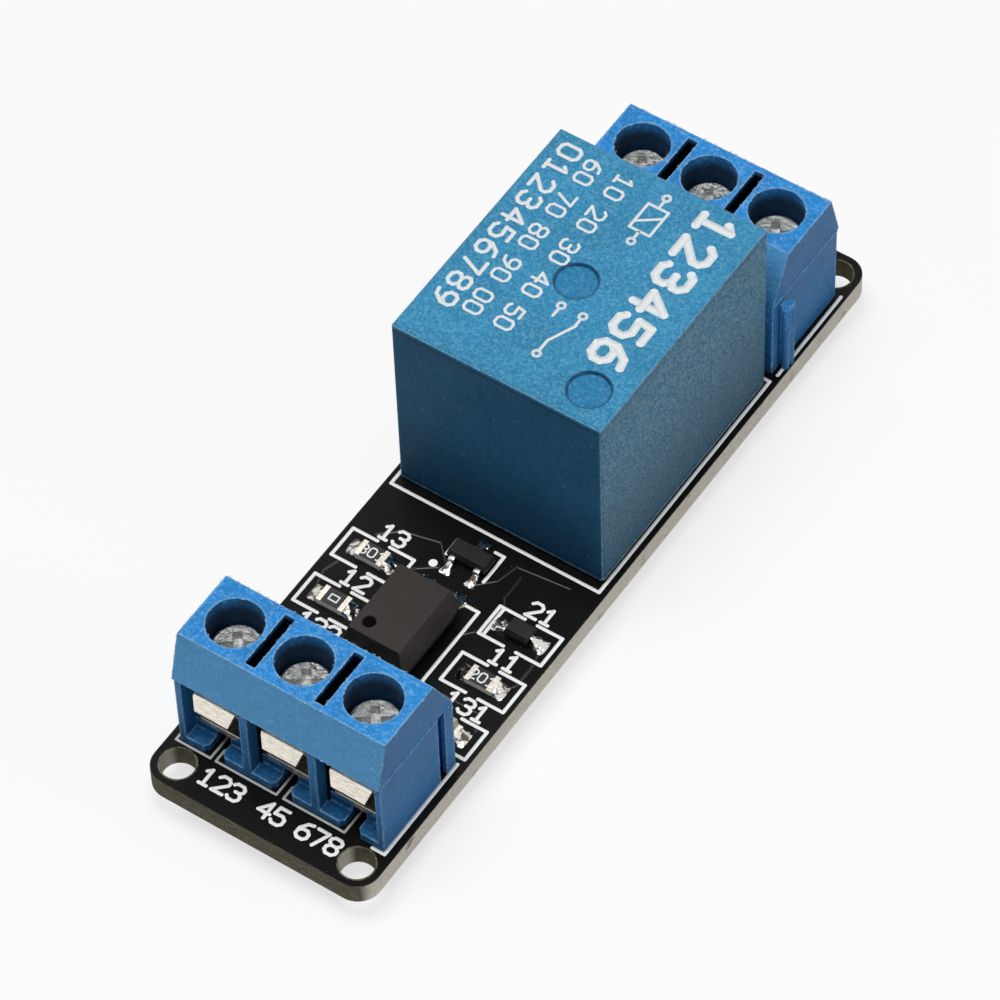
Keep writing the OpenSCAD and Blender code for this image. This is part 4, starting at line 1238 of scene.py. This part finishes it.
def contact_diagram(x, coil_y, contact_y, z):
    """The usual drawing of a coil and a changeover contact."""
    left, right = x - COIL_WIDE, x + COIL_WIDE
    paths = outline(left, coil_y - COIL_LONG, right, coil_y + COIL_LONG, z)
    paths.append([(left, coil_y - COIL_LONG * 0.5, z), (right, coil_y + COIL_LONG * 0.5, z)])
    for way in (-1, 1):
        end = coil_y + way * (COIL_LONG + COIL_LEAD)
        paths.append([(x, coil_y + way * COIL_LONG, z), (x, end, z)])
        paths.append(circle(x, end + way * END_R, END_R, z))
    paths += [
        circle(x, contact_y - 2.2, END_R, z),
        [(x, contact_y - 1.96, z), (x, contact_y - 1.0, z), (x + 0.85, contact_y + 0.9, z)]]
    for way in (-1, 1):
        pole = x + way * 0.8
        paths.append([(pole, contact_y + 0.8, z), (pole, contact_y + 1.5, z)])
        paths.append(circle(pole, contact_y + 1.74, END_R, z))
    return paths


# Numbers on the resistors' tops, and the resistor that has a small box instead
CHIP_CODES = {"resistor_1": "201", "resistor_3": "301"}
BOXED_CHIP = "resistor_2"
CODE_LIFT, CODE_HEIGHT, CODE_SPREAD, CODE_STROKE = 0.006, 0.7, 0.96, 0.105
# The optocoupler's dot: its place from the corner, its radius, and how deep it lies
OPTO_DOT_PLACE, OPTO_DOT_R = (1.3, 1.4), 0.44
OPTO_DOT_DEPTHS = (0.12, 0.09)


class RELAYMODULE_OT_driver(bpy.types.Operator):
    """Finish the optocoupler, transistor, diode, resistors and lights"""

    bl_idname = "relay_module.driver"
    bl_label = "Driver parts"

    def execute(self, context):
        look = context.scene.relay_module_driver
        epoxy = package_plastic("Package epoxy", look.package[:])
        rounded_copy("optocoupler", epoxy, ROUNDING["package"])
        epoxy = package_plastic("Small package epoxy", scaled(look.package, 0.4))
        for node in ("transistor", "diode"):
            rounded_copy(node, epoxy, ROUNDING["package"])
        tin = plated("Leg metal", tint(204, 204, 200), 0.24, 6.0)
        for node in ("optocoupler_legs", "transistor_legs", "diode_legs"):
            rounded_copy(node, tin, ROUNDING["leg"])
        paint(plated("Chip ends", tint(232, 226, 212), 0.4, 7.0), "resistor_ends", "led_ends")
        paint(chip_ceramic("Resistor body", look.resistor[:], tint(226, 224, 216)),
              *numbered("resistor", 3))
        paint(chip_ceramic("Light body", tint(208, 214, 196), tint(226, 226, 216)),
              *numbered("led", 2))
        paint(lens_resin(look), *numbered("led_lens", 2))
        solder_mounds(solder_metal(look))
        # The dot at the optocoupler's first leg, sunk in its dimple
        low, high = corners("optocoupler")
        dot = bmesh.new()
        place = (low.x + OPTO_DOT_PLACE[0], low.y + OPTO_DOT_PLACE[1])
        add_disc(dot, place, OPTO_DOT_R, *(high.z - depth for depth in OPTO_DOT_DEPTHS))
        dark = plain_plastic("Dot ink", tint(2, 2, 2), 6.0, 0.8, 0.0, 0.05)
        mesh_piece("optocoupler_dot", dot, dark)
        self.chip_codes(context.scene.relay_module_board)
        return {"FINISHED"}

    def chip_codes(self, look):
        """White numbers on the resistors' glazed tops."""
        ink = printed("Chip ink", look.ink, 0.02)
        paths = []
        for node, code in CHIP_CODES.items():
            centre, z = middle(node), corners(node)[1].z + CODE_LIFT
            paths += number_paths(code, (centre.x, centre.y), CODE_HEIGHT, z, 0, CODE_SPREAD)
        low, high = corners(BOXED_CHIP)
        x, y = (low.x + high.x) / 2, (low.y + high.y) / 2
        paths += outline(x - 0.3, y - 0.22, x + 0.3, y + 0.22, high.z + CODE_LIFT)
        lines_piece("chip_codes", paths, CODE_STROKE * MM, 0.015 * MM, ink, "chip_ceramic")


# Solder mounds: flare, length, height and fullness, with the width before them where
# it isn't that of the part
CHIP_MOUND, LED_MOUND = (0.08, 0.78, 0.46, 0.3), (0.08, 0.78, 0.42, 0.3)
DIODE_MOUND = (0.9, 0.5, 1.0, 0.5, 0.3)
TRANSISTOR_MOUND = (0.46, 0.9, 0.95, 0.5, 0.1)
OPTO_MOUND = (1.05, 0.15, 1.25, 0.42, 0.35)
# Where they start: how far off a chip's end or a body, how far in from a leg's tip, and
# where the legs stand
CHIP_CLEAR, CHIP_SPILL = 0.02, 0.04
DIODE_TIP = 0.34
SOT_LEG_PITCH, SOT_CLEAR = 0.95, 0.2
OPTO_LEG_INSET, OPTO_TIP = 0.35, 0.75


def solder_places():
    """Each mound's start and way out, then its width, flare, length, height and fullness."""
    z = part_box("board")[1].z / MM
    for node in numbered("resistor", 3) + numbered("led", 2):
        low, high = corners(node)
        mound = LED_MOUND if node.startswith("led") else CHIP_MOUND
        for way in (-1, 1):
            end = (high.x if way > 0 else low.x) + way * CHIP_CLEAR
            start = Vector((end, (low.y + high.y) / 2, z))
            yield start, Vector((way, 0, 0)), high.y - low.y + CHIP_SPILL, *mound
    low, high = corners("diode_legs")
    for way in (-1, 1):
        end = (high.x if way > 0 else low.x) - way * DIODE_TIP
        yield Vector((end, (low.y + high.y) / 2, z)), Vector((way, 0, 0)), *DIODE_MOUND
    low, high = corners("transistor_legs")
    centre = (low.x + high.x) / 2
    low, high = corners("transistor")
    for x, way in ((centre - SOT_LEG_PITCH, -1), (centre + SOT_LEG_PITCH, -1), (centre, 1)):
        end = (high.y if way > 0 else low.y) + way * SOT_CLEAR
        yield Vector((x, end, z)), Vector((0, way, 0)), *TRANSISTOR_MOUND
    low, high = corners("optocoupler_legs")
    for x in (low.x + OPTO_LEG_INSET, high.x - OPTO_LEG_INSET):
        for way in (-1, 1):
            end = (high.y if way > 0 else low.y) - way * OPTO_TIP
            yield Vector((x, end, z)), Vector((0, way, 0)), *OPTO_MOUND


def solder_mounds(material):
    """Solder at the ends of the chips and on the feet of the legs."""
    work = bmesh.new()
    for seed, place in enumerate(solder_places(), 1):
        add_solder(work, *place, seed)
    piece = mesh_piece("pad_solder_finished", work, material, smooth=50)
    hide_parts("pad_solder")


# Lamps and floor, in metres
KEY_PLACE, KEY_SIZE = (-0.02, -0.05, 0.42), 0.24
SIDE_PLACE, SIDE_SIZE = (0.36, 0.05, 0.13), 0.20
FLOOR_REACH = 4.0
# How much of the floor's brightness comes from the lamps, and so takes the shadow
SHADOW_SHARE = 0.3
# The floor's bounce is white this near the board and dull this far from it, in millimetres
WHITE_TO, DULL_FROM = 3, 24


class RELAYMODULE_OT_stage(bpy.types.Operator):
    """Set the floor, the soft light and the camera"""

    bl_idname = "relay_module.stage"
    bl_label = "Stage"

    def execute(self, context):
        look = context.scene.relay_module_stage
        context.scene.view_settings.view_transform = "Standard"
        floor_under(look)
        even_sky(context.scene, look)
        soft_light("Key light", KEY_PLACE, KEY_SIZE, look.key_power)
        soft_light("Side light", SIDE_PLACE, SIDE_SIZE, look.side_power)
        place_camera(context.scene, look)
        return {"FINISHED"}


def floor_under(look):
    """A pale floor: white to the eye and to gloss, duller as a bounce light."""
    mesh = bpy.data.meshes.new("floor")
    z, reach = CAD_BOX[0].z, FLOOR_REACH
    ring = [(-reach, -reach, z), (reach, -reach, z), (reach, reach, z), (-reach, reach, z)]
    mesh.from_pydata(ring, [], [range(len(ring))])
    floor = bpy.data.objects.new("floor", mesh)
    bpy.context.scene.collection.objects.link(floor)
    s = Surface("Floor")
    glow = s.node("ShaderNodeEmission", {"Color": look.floor[:], "Strength": 1.0})
    lit = s.node("ShaderNodeBsdfDiffuse", {"Color": look.floor[:]})
    pale = s.node("ShaderNodeMixShader", {0: SHADOW_SHARE, 1: glow.outputs[0], 2: lit.outputs[0]})
    # How far each point lies outside the board's outline
    outside = s.vector("SUBTRACT", s.vector("ABSOLUTE", s.mm), (*(CAD_BOX[1] / MM)[:2], 0))
    outside = s.vector("MULTIPLY", s.vector("MAXIMUM", outside, (0, 0, 0)), (1, 1, 0))
    near = s.span(s.vector("LENGTH", outside), WHITE_TO, DULL_FROM, 1.0, 0.0)
    dull = s.node(
        "ShaderNodeBsdfDiffuse", {"Color": s.mix(near, tint(124, 124, 124), tint(250, 250, 250))})
    both = s.node("ShaderNodeMixShader", {0: s.seen(), 1: dull.outputs[0], 2: pale.outputs[0]})
    s.tree.links.new(both.outputs[0], s.output.inputs["Surface"])
    mesh.materials.append(s.material)


def even_sky(scene, look):
    """White to the eye and to gloss, and a weaker even light for everything else."""
    world = bpy.data.worlds.new("Sky")
    scene.world = world
    world.use_nodes = True
    t = Tree(world.node_tree)
    t.tree.nodes.clear()
    strength = t.span(t.seen(), 0, 1, look.sky_strength, 1.0, smooth=False)
    sky = t.node("ShaderNodeBackground", {"Color": (1, 1, 1, 1), "Strength": strength})
    output = t.node("ShaderNodeOutputWorld")
    t.tree.links.new(sky.outputs[0], output.inputs[0])


def soft_light(name, place, size, power):
    """A square soft light that faces the middle of the board."""
    data = bpy.data.lights.new(name, "AREA")
    data.shape = "SQUARE"
    data.size = size
    data.energy = power
    lamp = bpy.data.objects.new(name, data)
    lamp.location = place
    lamp.rotation_euler = (-Vector(place)).to_track_quat("-Z", "Y").to_euler()
    bpy.context.scene.collection.objects.link(lamp)


def place_camera(scene, look):
    """The camera, from its settings."""
    data = bpy.data.cameras.new("Camera")
    data.sensor_width = 36.0
    data.lens = look.focal_length
    data.shift_x, data.shift_y = look.shift
    data.clip_start, data.clip_end = 0.01, 10.0
    camera = bpy.data.objects.new("Camera", data)
    camera.location = look.camera_place
    camera.rotation_euler = Euler(look.camera_turn, "XYZ")
    scene.collection.objects.link(camera)
    scene.camera = camera


class RELAYMODULE_PT_panel(bpy.types.Panel):
    """Lists the steps that dress the relay module"""

    bl_label = "Relay Module"
    bl_idname = "RELAYMODULE_PT_panel"
    bl_space_type = "VIEW_3D"
    bl_region_type = "UI"
    bl_category = "Relay Module"

    def draw(self, context):
        for step in OPERATORS:
            self.layout.operator(step.bl_idname, text=step.bl_label)
        for group in SETTINGS:
            box = self.layout.box()
            settings = getattr(context.scene, group)
            box.label(text=SETTINGS[group].__doc__)
            for name in SETTINGS[group].__annotations__:
                box.prop(settings, name)


SETTINGS = {
    "relay_module_board": RelayModuleBoardSettings,
    "relay_module_block": RelayModuleBlockSettings,
    "relay_module_relay": RelayModuleRelaySettings,
    "relay_module_driver": RelayModuleDriverSettings,
    "relay_module_stage": RelayModuleStageSettings,
}
OPERATORS = (
    RELAYMODULE_OT_board,
    RELAYMODULE_OT_board_print,
    RELAYMODULE_OT_housings,
    RELAYMODULE_OT_clamps,
    RELAYMODULE_OT_relay,
    RELAYMODULE_OT_relay_marks,
    RELAYMODULE_OT_driver,
    RELAYMODULE_OT_stage,
)


def register():
    for group, settings in SETTINGS.items():
        bpy.utils.register_class(settings)
        setattr(bpy.types.Scene, group, bpy.props.PointerProperty(type=settings))
    for step in OPERATORS:
        bpy.utils.register_class(step)
    bpy.utils.register_class(RELAYMODULE_PT_panel)


def unregister():
    bpy.utils.unregister_class(RELAYMODULE_PT_panel)
    for step in reversed(OPERATORS):
        bpy.utils.unregister_class(step)
    for group, settings in SETTINGS.items():
        delattr(bpy.types.Scene, group)
        bpy.utils.unregister_class(settings)


def main():
    register()
    for step in OPERATORS:
        family, name = step.bl_idname.split(".")
        getattr(getattr(bpy.ops, family), name)()


if __name__ == "__main__":
    main()
